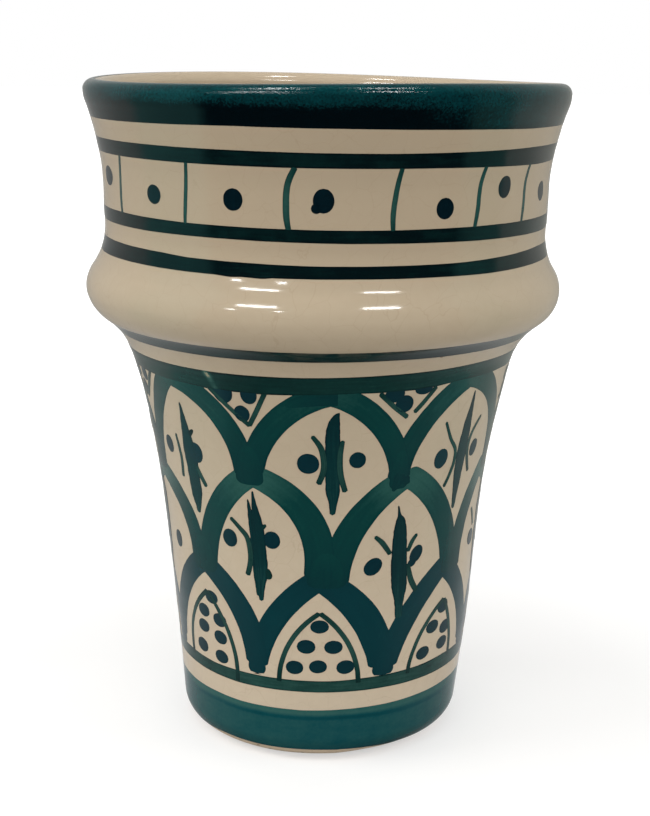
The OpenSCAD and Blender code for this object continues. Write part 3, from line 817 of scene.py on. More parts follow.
def painted(name, node, paint, strokes, spacing=0.25, ragged=0.05, grain=650.0):
    """Makes one piece of a list of strokes."""
    mesh = bpy.data.meshes.new(name)
    corners, lines = [], []
    for s in strokes:
        first = len(corners)
        corners += [(x * MM, h * MM, 0) for x, h in s["path"]]
        lines += [(k, k + 1) for k in range(first, len(corners) - 1)]
    mesh.from_pydata(corners, lines, [])
    for key in ("turn", "half_width", "load", "tip", "lift"):
        keep_values(mesh, key, np.concatenate([s[key] for s in strokes]))
    piece = add(name, mesh)
    modifier = piece.modifiers.new("brush", "NODES")
    modifier.node_group = brush
    for key, value in (("Wall", outer_coat), ("Spacing", spacing * MM), ("Ragged", ragged * MM),
                       ("Grain", grain), ("Film", FILM * MM), ("Sink", FILM_SINK * MM), ("Paint", paint)):
        modifier[brush_socket[key]] = value
    graph = bpy.context.evaluated_depsgraph_get()
    wrapped = bpy.data.meshes.new_from_object(piece.evaluated_get(graph), preserve_all_data_layers=True,
                                              depsgraph=graph)
    piece.modifiers.clear()
    piece.data = wrapped
    facing_out = np.empty(len(wrapped.vertices) * 3, np.float32)
    wrapped.attributes["wall_normal"].data.foreach_get("vector", facing_out)
    wrapped.normals_split_custom_set_from_vertices(facing_out.reshape(-1, 3).tolist())
    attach(piece, "root")
    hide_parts(node)


ink = brush_paint("ink_paint", (40, 84, 82), (10, 52, 60), (6, 41, 49), 0.25, 0.15)
deep_ink = brush_paint("deep_ink_paint", (40, 84, 82), (8, 42, 52), (2, 20, 27), 0.25, 0.15)
FRIEZE_H = (89.6, 98.2)
DIVIDERS = (-59.2, -34.5, -8.3, 16.0, 38.5, 55.5, 78.5, 100.5, 122.5, 144.5, 166.5, 188.5, 210.5, 232.5,
            254.5, 276.5)
DIVIDER_HALVES = np.array((0.34, 0.42, 0.4, 0.36))
DIVIDER_LOAD = (0.6, 0.45, 0.48, 0.65)
DIVIDER_OVER = 0.4
DIVIDER_BEND_H = 2
FRONT_DOT_LOAD = 0.97
# How far some are bowed sideways and trail off at the bottom, in degrees, and how thick they are
BOWED = {-59.2: (0.0, 0.7, 1.0), -34.5: (0.8, 0.5, 0.85), -8.3: (-0.75, 0.5, 1.18), 38.5: (0.0, -0.9, 1.0)}
# Dots drawn freely as turn, height, width, thickness and tilt. The last one is a drip beside the third
FRONT_DOTS = ((-44.6, 93.3, 3.2, 2.92, -9), (-21.5, 93.5, 3.1, 3.3, 0), (-0.5, 93.7, 3.1, 3.6, 0),
              (28.4, 92.4, 3.0, 3.2, 0), (46.8, 95, 3.0, 3.4, -8), (66.6, 93.5, 3.1, 3.1, 0),
              (-68.2, 94.9, 4.3, 3.1, 0), (-2.1, 92.6, 1.6, 1.5, 0))
FIRST_BACK_PANEL = 6
frieze_mid_h = sum(FRIEZE_H) / 2
draw = random.Random(4)
divider_strokes = []
for d in DIVIDERS:
    bow, trail, thick = BOWED.get(d, (0.0, 0.0, 1.0))
    path = [(d - 0.5 + trail, FRIEZE_H[0] - DIVIDER_OVER),
            (d + draw.uniform(-0.8, 0.2) + bow, frieze_mid_h - DIVIDER_BEND_H),
            (d + draw.uniform(-0.2, 0.6) + bow, frieze_mid_h + DIVIDER_BEND_H),
            (d + draw.uniform(0.8, 1.8), FRIEZE_H[1] + DIVIDER_OVER)]
    divider_strokes.append(stroke(path, DIVIDER_HALVES * thick, DIVIDER_LOAD, tip=0.2))
painted("divider_strokes", "frieze_dividers", dark_green, divider_strokes, spacing=0.2)

frieze_dots = [dab((a, h), (w, t), tilt, FRONT_DOT_LOAD) for a, h, w, t, tilt in FRONT_DOTS]
for left, right in zip(DIVIDERS[FIRST_BACK_PANEL:], DIVIDERS[FIRST_BACK_PANEL + 1:]):
    middle = ((left + right) / 2 + draw.uniform(-1.5, 1.5), frieze_mid_h + draw.uniform(-0.9, 0.9))
    size = (draw.uniform(2.9, 3.2), draw.uniform(3.0, 3.5))
    frieze_dots.append(dab(middle, size, draw.uniform(-12, 12)))
painted("frieze_dabs", "frieze_dots", deep_ink, frieze_dots, spacing=0.12, ragged=0.09)


# Scales
# Three rows of broad pointed arches, set between each other like scales, fill the wall under the head band.
# A full brush pulls each side up from the crown below, pooling at its start and running thin near the tip.

SCALE_HALF = 1.9
# How much of its extra thickness a side has along its way, and how many places it runs through
SWELL = np.array((0.5, 1.0, 1.0, 0.6, 0.0))
ARCH_PLACES = 9
CROWN_TIP = 1.8
LEG_TIP = 0.8
PILLAR_RISE = 4.5
# A stroke that crosses another lies this much higher
OVERLAP = 0.004
# Inner corners and tip of the arches that were drawn freely, in degrees round the cup and mm up. Then, for
# the left and the right side, how far it bows out beyond a round and how much it is thicker, in mm
UPPER_FRONT = (((-64.2, 47.5), (-49.7, 62.7), (-28.3, 50.2), (0.0, 0.0), (0.15, 0.15)),
               ((-18.4, 50.9), (2.0, 62.3), (21.5, 50.1), (-0.73, 0.12), (-0.45, 0.0)),
               ((28.3, 50.1), (47.0, 63.2), (68.5, 48.4), (-0.45, 0.0), (0.8, 0.0)))
MIDDLE_FRONT = (((-86.0, 33.0), (-70.0, 45.0), (-52.5, 33.7)),
                ((-39.5, 32.7), (-22.9, 47.7), (-4.9, 33.6), (0.0, 0.25), (1.25, 0.55)),
                ((8.9, 32.7), (28.5, 47.7), (47.2, 33.1), (-0.08, 0.45), (-0.4, 0.3)),
                ((59.3, 32.5), (70.0, 45.5), (87.7, 33.0)))
LOWER_FRONT = (((-65.6, 15.3), (-46.5, 31.0), (-28.0, 15.3), (0.0, 0.1), (0.6, 0.25)),
               ((-20.2, 15.3), (-0.6, 30.7), (19.4, 15.3), (-0.4, 0.05), (0.05, 0.65)),
               ((28.9, 15.3), (48.8, 30.5), (65.6, 15.3), (-0.55, 0.2), (0.0, 0.0)))
# Where the rest stand: over these turns in the upper and lower rows, and between them in the middle row
BACK_TURNS = (94.0, 137.5, 180.5, 223.5, 267.5)
BACK_GAPS = (72.0, 115.75, 159.0, 202.0, 245.5, 290.0)
UPPER_LOAD = (0.82, 0.78, 0.72, 0.66, 0.62, 0.6, 0.58, 0.52, 0.5)
MIDDLE_LOAD = (0.82, 0.78, 0.72, 0.66, 0.62, 0.6, 0.46, 0.28, 0.31)
LOWER_LOAD = (0.7, 0.68, 0.66, 0.64, 0.64, 0.66, 0.7, 0.74, 0.76)
PILLAR_LOAD = (0.62, 0.7, 0.76, 0.8)
PILLAR_SHAPE = np.array((0.45, 0.85, 1.0, 1.0))
PILLAR_TOP_TIP = 2.0
# Touches added last to the upper row: places, half widths, load, length of the ends and lift
LAST_TOUCHES = (
    (((26.0, 49.1), (27.8, 49.1), (29.4, 49.2)), 0.75, 0.85, None, 0.03),
    (((25.6, 50.6), (24.5, 48.9), (23.0, 47.3)), (1.3, 0.9, 0.35), 0.82, None, 0.029),
    (((-11.0, 62.0), (-6.0, 62.95), (0.0, 63.4), (4.6, 63.4)), (0.5, 1.0, 1.15, 1.15),
     (0.6, 0.72, 0.8, 0.85), (2.5, 1.0, 0.3, 0.3), 0.03))


def arch(load, lift, foot, left, tip, right, left_way=(0.0, 0.0), right_way=(0.0, 0.0), half=SCALE_HALF):
    """Two pulls that stand upright on their corners, bend over and cross at the tip."""
    pulls = []
    for side, corner, (bow, thick) in ((-1, left, left_way), (1, right, right_way)):
        x, height = unrolled(tip[0], corner)
        run, rise = abs(x), tip[1] - height
        bend = (run ** 2 + rise ** 2) / (2 * run)
        middle = bend + half
        last = math.acos((bend - run) / middle) + CROWN_TIP / 2 / middle
        path = [(x + side * half, height + foot)] if foot < 0 else []
        for share in np.linspace(0, 1, ARCH_PLACES):
            a = last * share + math.asin(max(foot, 0) / middle) * (1 - share)
            reach = middle + bow * math.sin(math.pi * share)
            path.append((x + side * (reach * math.cos(a) - bend), height + reach * math.sin(a)))
        ends = (LEG_TIP, LEG_TIP, CROWN_TIP)
        pulls.append(flat_stroke(tip[0], path, half + thick * SWELL, load, tip=ends,
                                 lift=lift + (OVERLAP if side > 0 else 0)))
    return pulls


def back_arches(draw, turns, gaps, leg, corner_h, tip_h):
    """The arches that stand regularly, as corners and tips."""
    half_leg = math.degrees(leg / 2 / radius_at(corner_h))
    return tuple(((a + half_leg, corner_h + draw.uniform(-0.5, 0.5)),
                  (t + draw.uniform(-1.2, 1.2), tip_h + draw.uniform(-0.5, 0.5)),
                  (b - half_leg, corner_h + draw.uniform(-0.5, 0.5)))
                 for a, t, b in zip(gaps, turns, gaps[1:]))


draw = random.Random(11)
upper_back = back_arches(draw, BACK_TURNS, BACK_GAPS, leg=5.2, corner_h=50.2, tip_h=62.6)
middle_back = back_arches(draw, BACK_GAPS[1:-1], BACK_TURNS, leg=5.8, corner_h=33.0, tip_h=47.6)
lower_back = back_arches(draw, BACK_TURNS, BACK_GAPS, leg=4.0, corner_h=15.3, tip_h=30.8)


def pillars(arches, drop, tip, lift):
    """A last pull down between neighbouring arches, which joins their legs into one foot."""
    pulls = []
    ordered = sorted(arches, key=lambda a: a[1][0] % 360)
    for before, after in zip(ordered, ordered[1:] + ordered[:1]):
        left, right = before[2], after[0]
        gap = (right[0] - left[0] + 180) % 360 - 180
        turn, height = left[0] + gap / 2, (left[1] + right[1]) / 2
        half = radius_at(height) * math.radians(gap) / 2
        path = [(0, height + PILLAR_RISE), (0, height + PILLAR_RISE / 2), (0, height), (0, height - drop)]
        pulls.append(flat_stroke(turn, path, PILLAR_SHAPE * half, PILLAR_LOAD,
                                 tip=(PILLAR_TOP_TIP, tip, tip), lift=lift))
    return pulls


for name, node, paint, arches, load, foot, drop, tip, lift in (
        ("lower_scale_row", "lower_scales", low_green, LOWER_FRONT + lower_back, LOWER_LOAD,
         1.6, -0.1, 1.5, 0.0),
        ("middle_scale_row", "middle_scales", scale_green, MIDDLE_FRONT + middle_back, MIDDLE_LOAD,
         -0.8, 2.0, 1.2, 0.01),
        ("upper_scale_row", "upper_scales", scale_green, UPPER_FRONT + upper_back, UPPER_LOAD,
         -0.8, 2.5, 1.2, 0.02)):
    pulls = [p for a in arches for p in arch(load, lift, foot, *a)]
    pulls += pillars(arches, drop, tip, lift + 2 * OVERLAP)
    if node == "upper_scales":
        pulls += [stroke(*touch) for touch in LAST_TOUCHES]
    painted(name, node, paint, pulls, spacing=0.3, ragged=0.06)


# Leaves
# A leaf stands in each upper and middle scale: a dark spindle pulled down with the loaded brush,
# a bowed sprig of the fine brush on either side, and two round dabs beside it.

# The leaves were painted over the scales, so their films lie this much higher
LEAF_LIFT = 0.034
# Spindles as turn, height and half width, from the top down
UPPER_STEMS = (
    ((-47.5, 60.2, 0.15), (-47.3, 58.0, 0.55), (-47.1, 55.6, 1.0), (-46.7, 52.0, 1.5), (-46.3, 48.6, 1.45),
     (-46.2, 45.0, 1.35), (-46.1, 43.0, 0.8), (-46.2, 41.4, 0.3)),
    ((4.7, 61.2, 0.12), (3.6, 60.1, 0.7), (3.0, 58.0, 1.1), (3.1, 53.0, 1.15), (3.4, 48.0, 1.1),
     (3.6, 46.2, 0.75), (3.4, 43.9, 0.4)),
    ((50.7, 62.5, 0.15), (50.7, 60.0, 0.5), (50.6, 57.0, 1.0), (50.6, 53.5, 1.3), (50.5, 50.0, 1.25),
     (50.6, 46.5, 0.9), (50.7, 42.2, 0.3)))
MIDDLE_STEMS = (
    ((-22.7, 47.3, 0.15), (-22.5, 45.5, 0.35), (-22.1, 43.4, 0.75), (-21.6, 41.0, 1.05), (-21.3, 37.0, 1.2),
     (-21.0, 33.5, 1.2), (-21.2, 30.8, 0.7), (-21.2, 28.4, 0.35)),
    ((-24.6, 45.8, 0.1), (-24.2, 44.0, 0.36), (-23.7, 41.5, 0.55), (-23.2, 38.0, 0.5), (-22.6, 33.0, 0.6),
     (-22.2, 29.2, 0.3)),
    ((25.8, 44.9, 0.15), (26.5, 43.3, 0.32), (27.0, 42.2, 0.85), (27.3, 40.5, 1.2), (27.6, 37.0, 1.4),
     (28.0, 33.5, 1.5), (28.5, 30.7, 1.4), (28.8, 28.0, 0.85), (29.1, 25.2, 0.65)))
# Sprigs as a thickness and the places they run through
FRONT_SPRIGS = (
    (1.35, ((-3.2, 57.3), (-0.6, 55.4), (0.4, 53.4), (0.4, 51.4), (-1.2, 49.1))),
    (1.3, ((6.0, 56.6), (5.3, 54.0), (5.6, 51.0), (7.4, 47.8))),
    (1.0, ((-52.9, 54.4), (-51.8, 50.5), (-52.5, 46.9))),
    (1.2, ((-44.3, 49.8), (-42.6, 48.0), (-40.7, 46.4))),
    (1.0, ((39.9, 58.1), (43.3, 55.0), (46.6, 52.9), (47.0, 50.5), (45.6, 48.3), (43.7, 46.6))),
    (1.0, ((58.3, 57.6), (54.4, 55.0), (53.7, 51.8), (56.8, 48.0))),
    (1.3, ((-31.9, 42.1), (-28.5, 40.6), (-25.6, 39.0), (-24.7, 36.2), (-25.2, 34.2), (-26.3, 32.5))),
    (0.9, ((-20.2, 40.7), (-18.6, 41.8))),
    (1.2, ((18.0, 40.0), (21.0, 38.7), (24.2, 36.6))),
    (1.1, ((34.4, 39.5), (32.4, 38.3), (30.8, 36.6))),
    (1.45, ((31.3, 34.6), (33.0, 31.8), (36.0, 29.4))),
    (1.0, ((66.0, 40.6), (68.6, 38.8), (70.3, 36.9))))
# Dots as turn, height, width, thickness and tilt
FRONT_LEAF_DOTS = (
    (-4.3, 52.6, 3.5, 3.4, 0), (10.7, 53.2, 2.7, 2.7, 0), (-58.2, 52.0, 2.4, 3.0, 10),
    (-43.8, 52.0, 3.3, 3.5, 0), (40.5, 51.8, 2.9, 3.4, -14), (57.5, 52.1, 2.3, 3.0, -16),
    (-32.6, 38.5, 2.8, 3.1, 8), (-16.7, 39.2, 2.8, 3.0, 0), (18.0, 34.8, 3.4, 2.7, 40),
    (34.6, 36.0, 3.2, 2.3, 58), (33.0, 34.6, 1.7, 1.4, 30), (-62.6, 34.9, 2.4, 3.0, 8),
    (69.0, 35.0, 2.9, 2.9, -10))
# Short touches beside two spindles, as places, half widths and load
KNOBS = ((((-18.9, 34.2), (-17.9, 33.0), (-19.0, 32.4)), (0.4, 0.5, 0.25), 0.7),
         (((-45.9, 54.6), (-44.7, 55.3), (-43.3, 55.9)), (0.4, 0.42, 0.22), 0.9))
SPRIG_HALVES = np.array((0.26, 0.36, 0.38, 0.34))
SPRIG_LOAD = (0.6, 0.47, 0.5, 0.6)
STEM_LOAD = (0.9, 0.76, 0.68, 0.64, 0.52)
# Two middle leaves at the edges of the front, whose inner sprigs and dots are drawn freely above
EDGE_TURNS = (-75.0, 76.5)
MIDDLE_BACK_TURNS = EDGE_TURNS + BACK_GAPS[1:-1]
# The foot and the tip of the leaves drawn again
UPPER_LEAF_H = (43.5, 61.0)
MIDDLE_LEAF_H = (27.5, 46.0)
# A spindle drawn again, as the share of its reach from the middle and the half width there
BACK_STEM = ((1.0, 0.12), (0.82, 0.5), (0.6, 1.0), (0.1, 1.25), (-0.4, 1.1), (-0.72, 0.55), (-1.0, 0.25))


def back_leaf(draw, turn, low, high):
    """The same leaf drawn again elsewhere: its spindle, sprigs and dots."""
    middle, reach = (low + high) / 2, (high - low) / 2
    wide = math.degrees(1 / radius_at(middle))
    tilt = draw.uniform(-1.2, 1.2)
    stem = [(turn + tilt * share, middle + share * reach, half) for share, half in BACK_STEM]
    sprigs = []
    dots = []
    for side in (-1, 1):
        bow = [(turn + side * wide * x, middle + y) for x, y in
               ((draw.uniform(3.0, 3.8), 4.6), (1.9, 1.8), (1.6, -0.6), (draw.uniform(2.2, 2.8), -4.2))]
        sprigs.append((1.2, bow))
        dots.append((turn + side * wide * draw.uniform(3.7, 4.4), middle + draw.uniform(-0.9, 0.9),
                     draw.uniform(2.7, 3.3), draw.uniform(2.8, 3.4), draw.uniform(-15, 15)))
    return stem, sprigs, dots


draw = random.Random(23)
upper_stems, middle_stems = list(UPPER_STEMS), list(MIDDLE_STEMS)
sprigs, leaf_dots = list(FRONT_SPRIGS), list(FRONT_LEAF_DOTS)
for turns, heights, stems in ((BACK_TURNS, UPPER_LEAF_H, upper_stems),
                              (MIDDLE_BACK_TURNS, MIDDLE_LEAF_H, middle_stems)):
    for turn in turns:
        stem, side_sprigs, side_dots = back_leaf(draw, turn, *heights)
        stems.append(stem)
        if turn not in EDGE_TURNS:
            sprigs += side_sprigs
            leaf_dots += side_dots
        else:
            outer = 0 if turn < 0 else 1
            sprigs.append(side_sprigs[outer])
            leaf_dots.append(side_dots[outer])


def spindle(marks):
    places, halves = [m[:2] for m in marks], [m[2] for m in marks]
    return stroke(places, halves, STEM_LOAD, tip=0.3, lift=LEAF_LIFT)


stem_ink = brush_paint("stem_ink_paint", (40, 86, 80), (9, 50, 52), (4, 34, 40), 0.5, 0.4)
for name, node, stems in (("upper_spindles", "upper_leaf_stems", upper_stems),
                          ("middle_spindles", "middle_leaf_stems", middle_stems)):
    painted(name, node, stem_ink, [spindle(s) for s in stems], ragged=0.2, grain=900.0)
fine_sprigs = [stroke(path, SPRIG_HALVES * thick, SPRIG_LOAD, tip=0.25, lift=LEAF_LIFT + OVERLAP)
               for thick, path in sprigs]
fine_sprigs += [stroke(*knob, lift=LEAF_LIFT) for knob in KNOBS]
painted("fine_sprigs", "leaf_sprigs", dark_green, fine_sprigs, spacing=0.2)
painted("leaf_dabs", "leaf_dots", ink,
        [dab((a, h), (w, t), tilt, load=0.9, lift=LEAF_LIFT) for a, h, w, t, tilt in leaf_dots],
        spacing=0.12, ragged=0.08)


# Gables and seeds
# The lowest scales hold a pointed arch of the fine brush, filled with dabs of dark paint heaped like seeds.
# Its two pulls stand on the base line and cross at the tip; each dab is one touch of the loaded brush.

GABLE_HALF = 0.42
GABLE_LIFT = 0.02
GABLE_OVERLAP = 0.002
GABLE_LOAD = (0.75, 0.5, 0.45, 0.5, 0.65)
GABLE_PLACES = 7
# A gable drawn again: its reach to either side in degrees, and the heights of its foot and tip
GABLE_REACH = 15.0
GABLE_FOOT_H = 14.6
GABLE_TIP_H = 27.2
# Corners and tip in degrees round the cup and mm up, then how far the sides belly out in mm
FRONT_GABLES = (((-58.8, 14.6), (-45.8, 27.9), (-33.0, 13.0), 0.7, 0.45),
                ((-15.4, 14.4), (-0.2, 27.1), (14.7, 14.4)),
                ((34.9, 14.6), (51.3, 26.4), (58.9, 14.8), -0.1, 0.0))
FRONT_SEEDS = (
    (-0.2, 24.7), (-5.0, 21.1), (4.9, 21.1), (-9.3, 17.3), (-0.6, 17.6), (9.5, 17.5),
    (-43.8, 26.9), (-48.8, 24.0), (-40.2, 23.2), (-49.7, 21.1), (-40.4, 20.1), (-51.5, 17.4), (-40.5, 16.6),
    (51.0, 25.1), (45.9, 22.0), (53.7, 21.1), (42.0, 17.7), (52.8, 18.3))
# Height and number of the seeds in each tier, and how far apart they are in degrees
SEED_TIERS = ((24.6, 1), (21.1, 2), (17.5, 3))
SEED_PITCH = 9.6


def gable(left, tip, right, left_belly=0.0, right_belly=0.0):
    """Two fine pulls from the base line up to the tip, bellied out by some mm."""
    pulls = []
    for side, corner, belly in ((-1, left, left_belly), (1, right, right_belly)):
        x, height = unrolled(tip[0], corner)
        run, rise = abs(x), tip[1] - height
        bend = (run ** 2 + rise ** 2) / (2 * run)
        last = math.asin(rise / bend)
        path = [(x + side * (bend * (math.cos(a) - 1) + belly * math.sin(math.pi * a / last)),
                 height + bend * math.sin(a)) for a in np.linspace(0, last, GABLE_PLACES)]
        pulls.append(flat_stroke(tip[0], path, GABLE_HALF, GABLE_LOAD, tip=0.2,
                                 lift=GABLE_LIFT + GABLE_OVERLAP * side))
    return pulls


draw = random.Random(37)
gables = [p for g in FRONT_GABLES for p in gable(*g)]
seeds = [dab(s, (draw.uniform(2.9, 3.1), draw.uniform(2.3, 2.5)), draw.uniform(-6, 8)) for s in FRONT_SEEDS]
for turn in BACK_TURNS:
    gables += gable((turn - GABLE_REACH + draw.uniform(-1, 1), GABLE_FOOT_H),
                    (turn, GABLE_TIP_H + draw.uniform(-0.5, 0.5)),
                    (turn + GABLE_REACH + draw.uniform(-1, 1), GABLE_FOOT_H))
    for height, count in SEED_TIERS:
        for k in range(count):
            middle = (turn + (k - (count - 1) / 2) * SEED_PITCH + draw.uniform(-0.8, 0.8),
                      height + draw.uniform(-0.3, 0.3))
            size = (draw.uniform(2.7, 3.0), draw.uniform(2.0, 2.3))
            seeds.append(dab(middle, size, draw.uniform(-12, 12)))
painted("gable_strokes", "gable_lines", dark_green, gables, spacing=0.2)
painted("seed_dabs", "seed_dots", ink, seeds, spacing=0.12, ragged=0.07)


# Corner chevrons and dots
# Under the head band, the corner between two upper scales holds a chevron of the fine brush round three
# dabs. Its two pulls run down from the band and meet where the scales part.

# Pulls from the band to the point, in degrees round the cup and mm up
FRONT_CHEVRONS = (((-35.0, 64.6), (-21.5, 58.2)), ((-16.0, 64.2), (-22.0, 58.2)),
                  ((15.7, 64.2), (25.3, 59.8)), ((33.5, 64.6), (27.0, 60.5)))
# Dots as turn, height, width and thickness
FRONT_CORNER_DOTS = ((-29.3, 63.5, 3.6, 3.8), (-21.1, 63.5, 2.8, 3.2), (-23.8, 60.2, 2.7, 2.7),
                     (20.3, 63.9, 3.3, 2.8), (23.6, 62.15, 3.1, 2.9), (29.2, 64.5, 3.3, 2.2))
CHEVRON_HALF = 0.408
CHEVRON_LOAD = (0.65, 0.45, 0.55)
CHEVRON_SAG = 0.2
CORNER_LIFT = 0.03
# Heights of a chevron drawn again, from its top to its point, and of its two upper dots and its lowest one
CHEVRON_H = (64.2, 58.8)
DOT_H = (63.1, 60.6)
# The first chevron past the front was left half drawn, with its lowest dot moved over by these degrees
HALF_DRAWN = BACK_GAPS[0]
MOVED_DOT = 3.0


def chevron_pull(start, end):
    middle = ((start[0] + end[0]) / 2, (start[1] + end[1]) / 2 - CHEVRON_SAG)
    return stroke([start, middle, end], CHEVRON_HALF, CHEVRON_LOAD, tip=0.3, lift=CORNER_LIFT)


draw = random.Random(41)
chevrons, corner_dots = list(FRONT_CHEVRONS), list(FRONT_CORNER_DOTS)
for turn in BACK_GAPS:
    sides, moved = ((1,), MOVED_DOT) if turn == HALF_DRAWN else ((-1, 1), 0.0)
    for side in sides:
        chevrons.append(((turn + side * draw.uniform(8.5, 10.0), CHEVRON_H[0]),
                         (turn + side * draw.uniform(0.0, 1.0), CHEVRON_H[1])))
        corner_dots.append((turn + side * draw.uniform(2.8, 3.4), DOT_H[0],
                            draw.uniform(2.2, 2.6), draw.uniform(2.2, 2.8)))
    corner_dots.append((turn + draw.uniform(-0.6, 0.6) + moved, DOT_H[1],
                        draw.uniform(2.2, 2.6), draw.uniform(2.2, 2.6)))
painted("chevron_strokes", "corner_chevrons", dark_green,
        [chevron_pull(*ends) for ends in chevrons], spacing=0.2)
painted("corner_dabs", "corner_dots", ink,
        [dab((a, h), (w, t), load=0.9, lift=CORNER_LIFT) for a, h, w, t in corner_dots],
        spacing=0.12, ragged=0.08)


# Stage
# A pale floor under a white surround, lit softly from the front, from both sides and from above.
# Six narrow panels are there for the gloss alone, which mirrors them as streaks.

AIM = Vector((0, 0, 0.06))
STREAK_AWAY = 1.4
LAMP_AWAY = 0.9
# Panels as the directions of their two ends, in degrees of azimuth and elevation, how tall they look in
# degrees, and their radiance
STREAKS = {"streak_left": ((-45.0, 36.8), (-24.2, 39.4), 2.8, 36),
           "streak_right": ((21.6, 39.7), (40.8, 37.4), 2.8, 36),
           "streak_far_left": ((-47.8, 27.5), (-43.4, 27.8), 2.7, 36),
           "streak_near_left": ((-23.4, 29.6), (-19.6, 29.8), 2.7, 36),
           "streak_rim_left": ((-70.0, 69.0), (-46.0, 72.0), 6, 38),
           "streak_rim_right": ((45.0, 72.0), (68.0, 70.0), 6, 30)}
LAMPS = {"lamp_overhead": ((-42.0, 62.0), (22.0, 62.0), 22, 2.9),
         "lamp_left": ((-100.0, 35.0), (-60.0, 35.0), 30, 4.3),
         "lamp_right": ((60.0, 35.0), (100.0, 35.0), 30, 2.6)}


def direction(azimuth, elevation):
    a, e = math.radians(azimuth), math.radians(elevation)
    return Vector((math.sin(a) * math.cos(e), -math.cos(a) * math.cos(e), math.sin(e)))


def panel(name, start, end, tall, radiance, away, mirrored):
    """A lamp panel between two directions of azimuth and elevation, facing the cup."""
    ends = [AIM + away * direction(*d) for d in (start, end)]
    across = ends[1] - ends[0]
    back = ((ends[0] + ends[1]) / 2 - AIM).normalized()
    side = across.normalized()
    lamp = bpy.data.lights.new(name, "AREA")
    lamp.shape = "RECTANGLE"
    lamp.size = across.length
    lamp.size_y = 2 * away * math.tan(math.radians(tall) / 2)
    lamp.energy = radiance * math.pi * lamp.size * lamp.size_y
    placed = add(name, lamp)
    upright = back.cross(side)
    turn = Matrix((side, upright, back)).transposed().to_4x4()
    placed.matrix_world = Matrix.Translation((ends[0] + ends[1]) / 2) @ turn
    placed.visible_glossy = mirrored
    placed.visible_diffuse = not mirrored


for name, shape in STREAKS.items():
    panel(name, *shape, STREAK_AWAY, mirrored=True)
for name, shape in LAMPS.items():
    panel(name, *shape, LAMP_AWAY, mirrored=False)

FLOOR_SIZE = 3.0
floor_corners = [(x * FLOOR_SIZE, y * FLOOR_SIZE, 0) for x, y in ((-1, -1), (1, -1), (1, 1), (-1, 1))]
floor_mesh = bpy.data.meshes.new("floor")
floor_mesh.from_pydata(floor_corners, [], [(0, 1, 2, 3)])
floor_piece = add("floor", floor_mesh)

# What the gloss mirrors of the surround, in degrees round the cup: dark ahead, dim green beside, grey
# further back
SURROUND = ((-150, (0.36, 0.36, 0.35)), (-125, (0.42, 0.43, 0.41)), (-104, (0.4, 0.46, 0.43)),
            (-96, (0.18, 0.42, 0.39)), (-62, (0.14, 0.42, 0.39)), (-56, (0.02, 0.024, 0.024)),
            (66, (0.02, 0.024, 0.024)), (72, (0.1, 0.28, 0.25)), (94, (0.13, 0.31, 0.28)),
            (98, (0.44, 0.51, 0.46)), (130, (0.5, 0.51, 0.47)), (155, (0.36, 0.36, 0.33)))
BEHIND = (0.5, 0.5, 0.48, 1)
# The floor whitens from the cup outwards, and close to the cup it is mirrored softly, in metres
WHITE_FROM, WHITE_FULL = 0.06, 0.3
SOFT_FULL, SOFT_END = 0.05, 0.16
# The soft mirroring brightens from the front round to the back, in radians
SOFT_TURN = (0.6, 2.0)
SOFT_LEVEL = (0.06, 0.56)
# Light from ahead and behind, and how far the mirrored surround darkens overhead
AMBIENT = 1.42
OVERHEAD_FROM, OVERHEAD_FULL = 0.55, 0.9
OVERHEAD_DARK = 0.75


def bearing(tree, across, ahead):
    return reckon(tree, "ARCTAN2", across, reckon(tree, "MULTIPLY", ahead, -1.0))


def mirrored(tree, azimuth):
    share = reckon(tree, "MULTIPLY_ADD", azimuth, 0.5 / math.pi, 0.5)
    ramp = place(tree, "ShaderNodeValToRGB", {0: share})
    for end in ramp.color_ramp.elements:
        end.color = BEHIND
    for turn, colour in SURROUND:
        ramp.color_ramp.elements.new((turn + 180) / 360).color = (*colour, 1)
    return ramp.outputs[0]


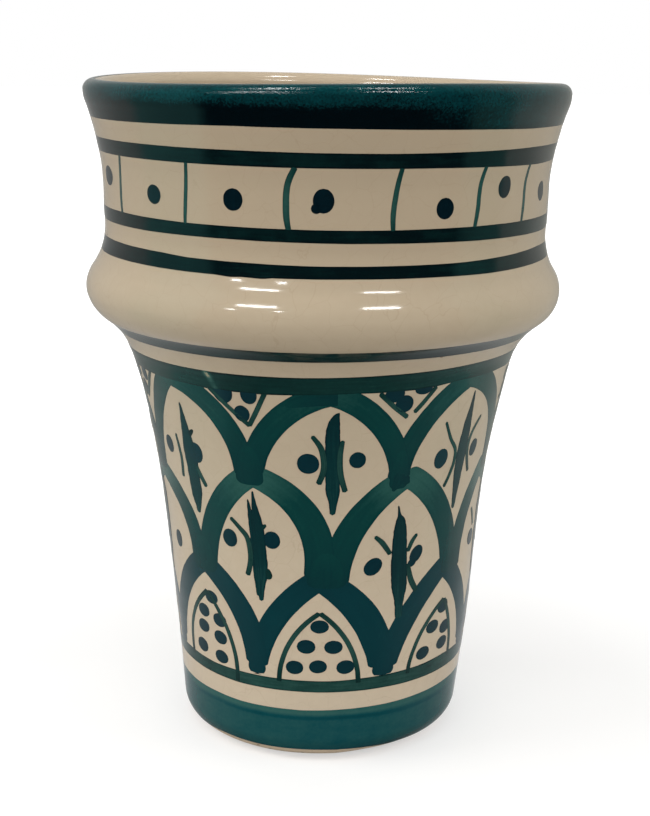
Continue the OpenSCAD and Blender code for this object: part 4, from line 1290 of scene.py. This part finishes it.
def pale_floor():
    """Matt and white to the camera, and to the gloss as dim as the surround."""
    material, tree = finish("pale_floor")
    rays = place(tree, "ShaderNodeLightPath").outputs
    where = place(tree, "ShaderNodeTexCoord").outputs["Object"]
    grain = noise(tree, where, 40.0, 3.0)
    tint = blend(tree, grain, shade(190, 189, 187), shade(196, 195, 193))
    matt = place(tree, "ShaderNodeBsdfDiffuse", {"Color": tint})
    spot = place(tree, "ShaderNodeSeparateXYZ", {0: where}).outputs
    far = place(tree, "ShaderNodeVectorMath", {0: where}, operation="LENGTH").outputs[1]
    white = ranged(tree, far, WHITE_FROM, WHITE_FULL, 0.5, 1.0)
    strength = reckon(tree, "MULTIPLY", rays["Is Camera Ray"], white)
    glow = place(tree, "ShaderNodeEmission", {"Color": (1, 1, 1, 1), "Strength": strength})
    seen = place(tree, "ShaderNodeAddShader", {0: matt.outputs[0], 1: glow.outputs[0]})
    near = ranged(tree, far, SOFT_FULL, SOFT_END, 1.0, 0.0)
    azimuth = bearing(tree, spot[0], spot[1])
    soft = ranged(tree, reckon(tree, "ABSOLUTE", azimuth), *SOFT_TURN, *SOFT_LEVEL)
    soft = place(tree, "ShaderNodeCombineColor", {0: soft, 1: soft, 2: soft}).outputs[0]
    dim = place(tree, "ShaderNodeEmission", {0: blend(tree, near, mirrored(tree, azimuth), soft)})
    both = {0: rays["Is Glossy Ray"], 1: seen.outputs[0], 2: dim.outputs[0]}
    shown = place(tree, "ShaderNodeMixShader", both)
    place(tree, "ShaderNodeOutputMaterial", {"Surface": shown.outputs[0]})
    return material


def surround():
    """White to the camera, a soft light on the cup, and what its gloss mirrors."""
    world = bpy.data.worlds.new("surround")
    world.use_nodes = True
    tree = world.node_tree
    tree.nodes.clear()
    rays = place(tree, "ShaderNodeLightPath").outputs
    way = place(tree, "ShaderNodeTexCoord").outputs["Generated"]
    toward = place(tree, "ShaderNodeSeparateXYZ", {0: way}).outputs
    ambient = reckon(tree, "MULTIPLY", reckon(tree, "ABSOLUTE", toward[1]), AMBIENT)
    ambient = place(tree, "ShaderNodeCombineColor", {0: ambient, 1: ambient, 2: ambient}).outputs[0]
    overhead = ranged(tree, toward[2], OVERHEAD_FROM, OVERHEAD_FULL, 0.0, OVERHEAD_DARK)
    mirror = blend(tree, overhead, mirrored(tree, bearing(tree, toward[0], toward[1])), (0, 0, 0, 1))
    look = blend(tree, rays["Is Glossy Ray"], ambient, mirror)
    look = blend(tree, rays["Is Camera Ray"], look, (1, 1, 1, 1))
    sky = place(tree, "ShaderNodeBackground", {0: look})
    place(tree, "ShaderNodeOutputWorld", {0: sky.outputs[0]})
    return world


floor_mesh.materials.append(pale_floor())
bpy.context.scene.world = surround()

CAMERA_PLACE = (0, -0.2643, 0.1173)
CAMERA_YAW, CAMERA_PITCH, CAMERA_ROLL = 0.073, 13.353, 0.781
FOCAL_PX = 1585
PHOTO_H = 816
SENSOR = 36
NEAREST = 0.01
lens = bpy.data.cameras.new("camera")
lens.sensor_width = SENSOR
lens.lens = SENSOR * FOCAL_PX / PHOTO_H
lens.clip_start = NEAREST
camera = add("camera", lens)
camera.matrix_world = (Matrix.Translation(CAMERA_PLACE) @ Matrix.Rotation(math.radians(-CAMERA_YAW), 4, "Z")
                       @ Matrix.Rotation(math.radians(90 - CAMERA_PITCH), 4, "X")
                       @ Matrix.Rotation(math.radians(CAMERA_ROLL), 4, "Z"))
bpy.context.scene.camera = camera
bpy.context.scene.view_settings.view_transform = "Standard"
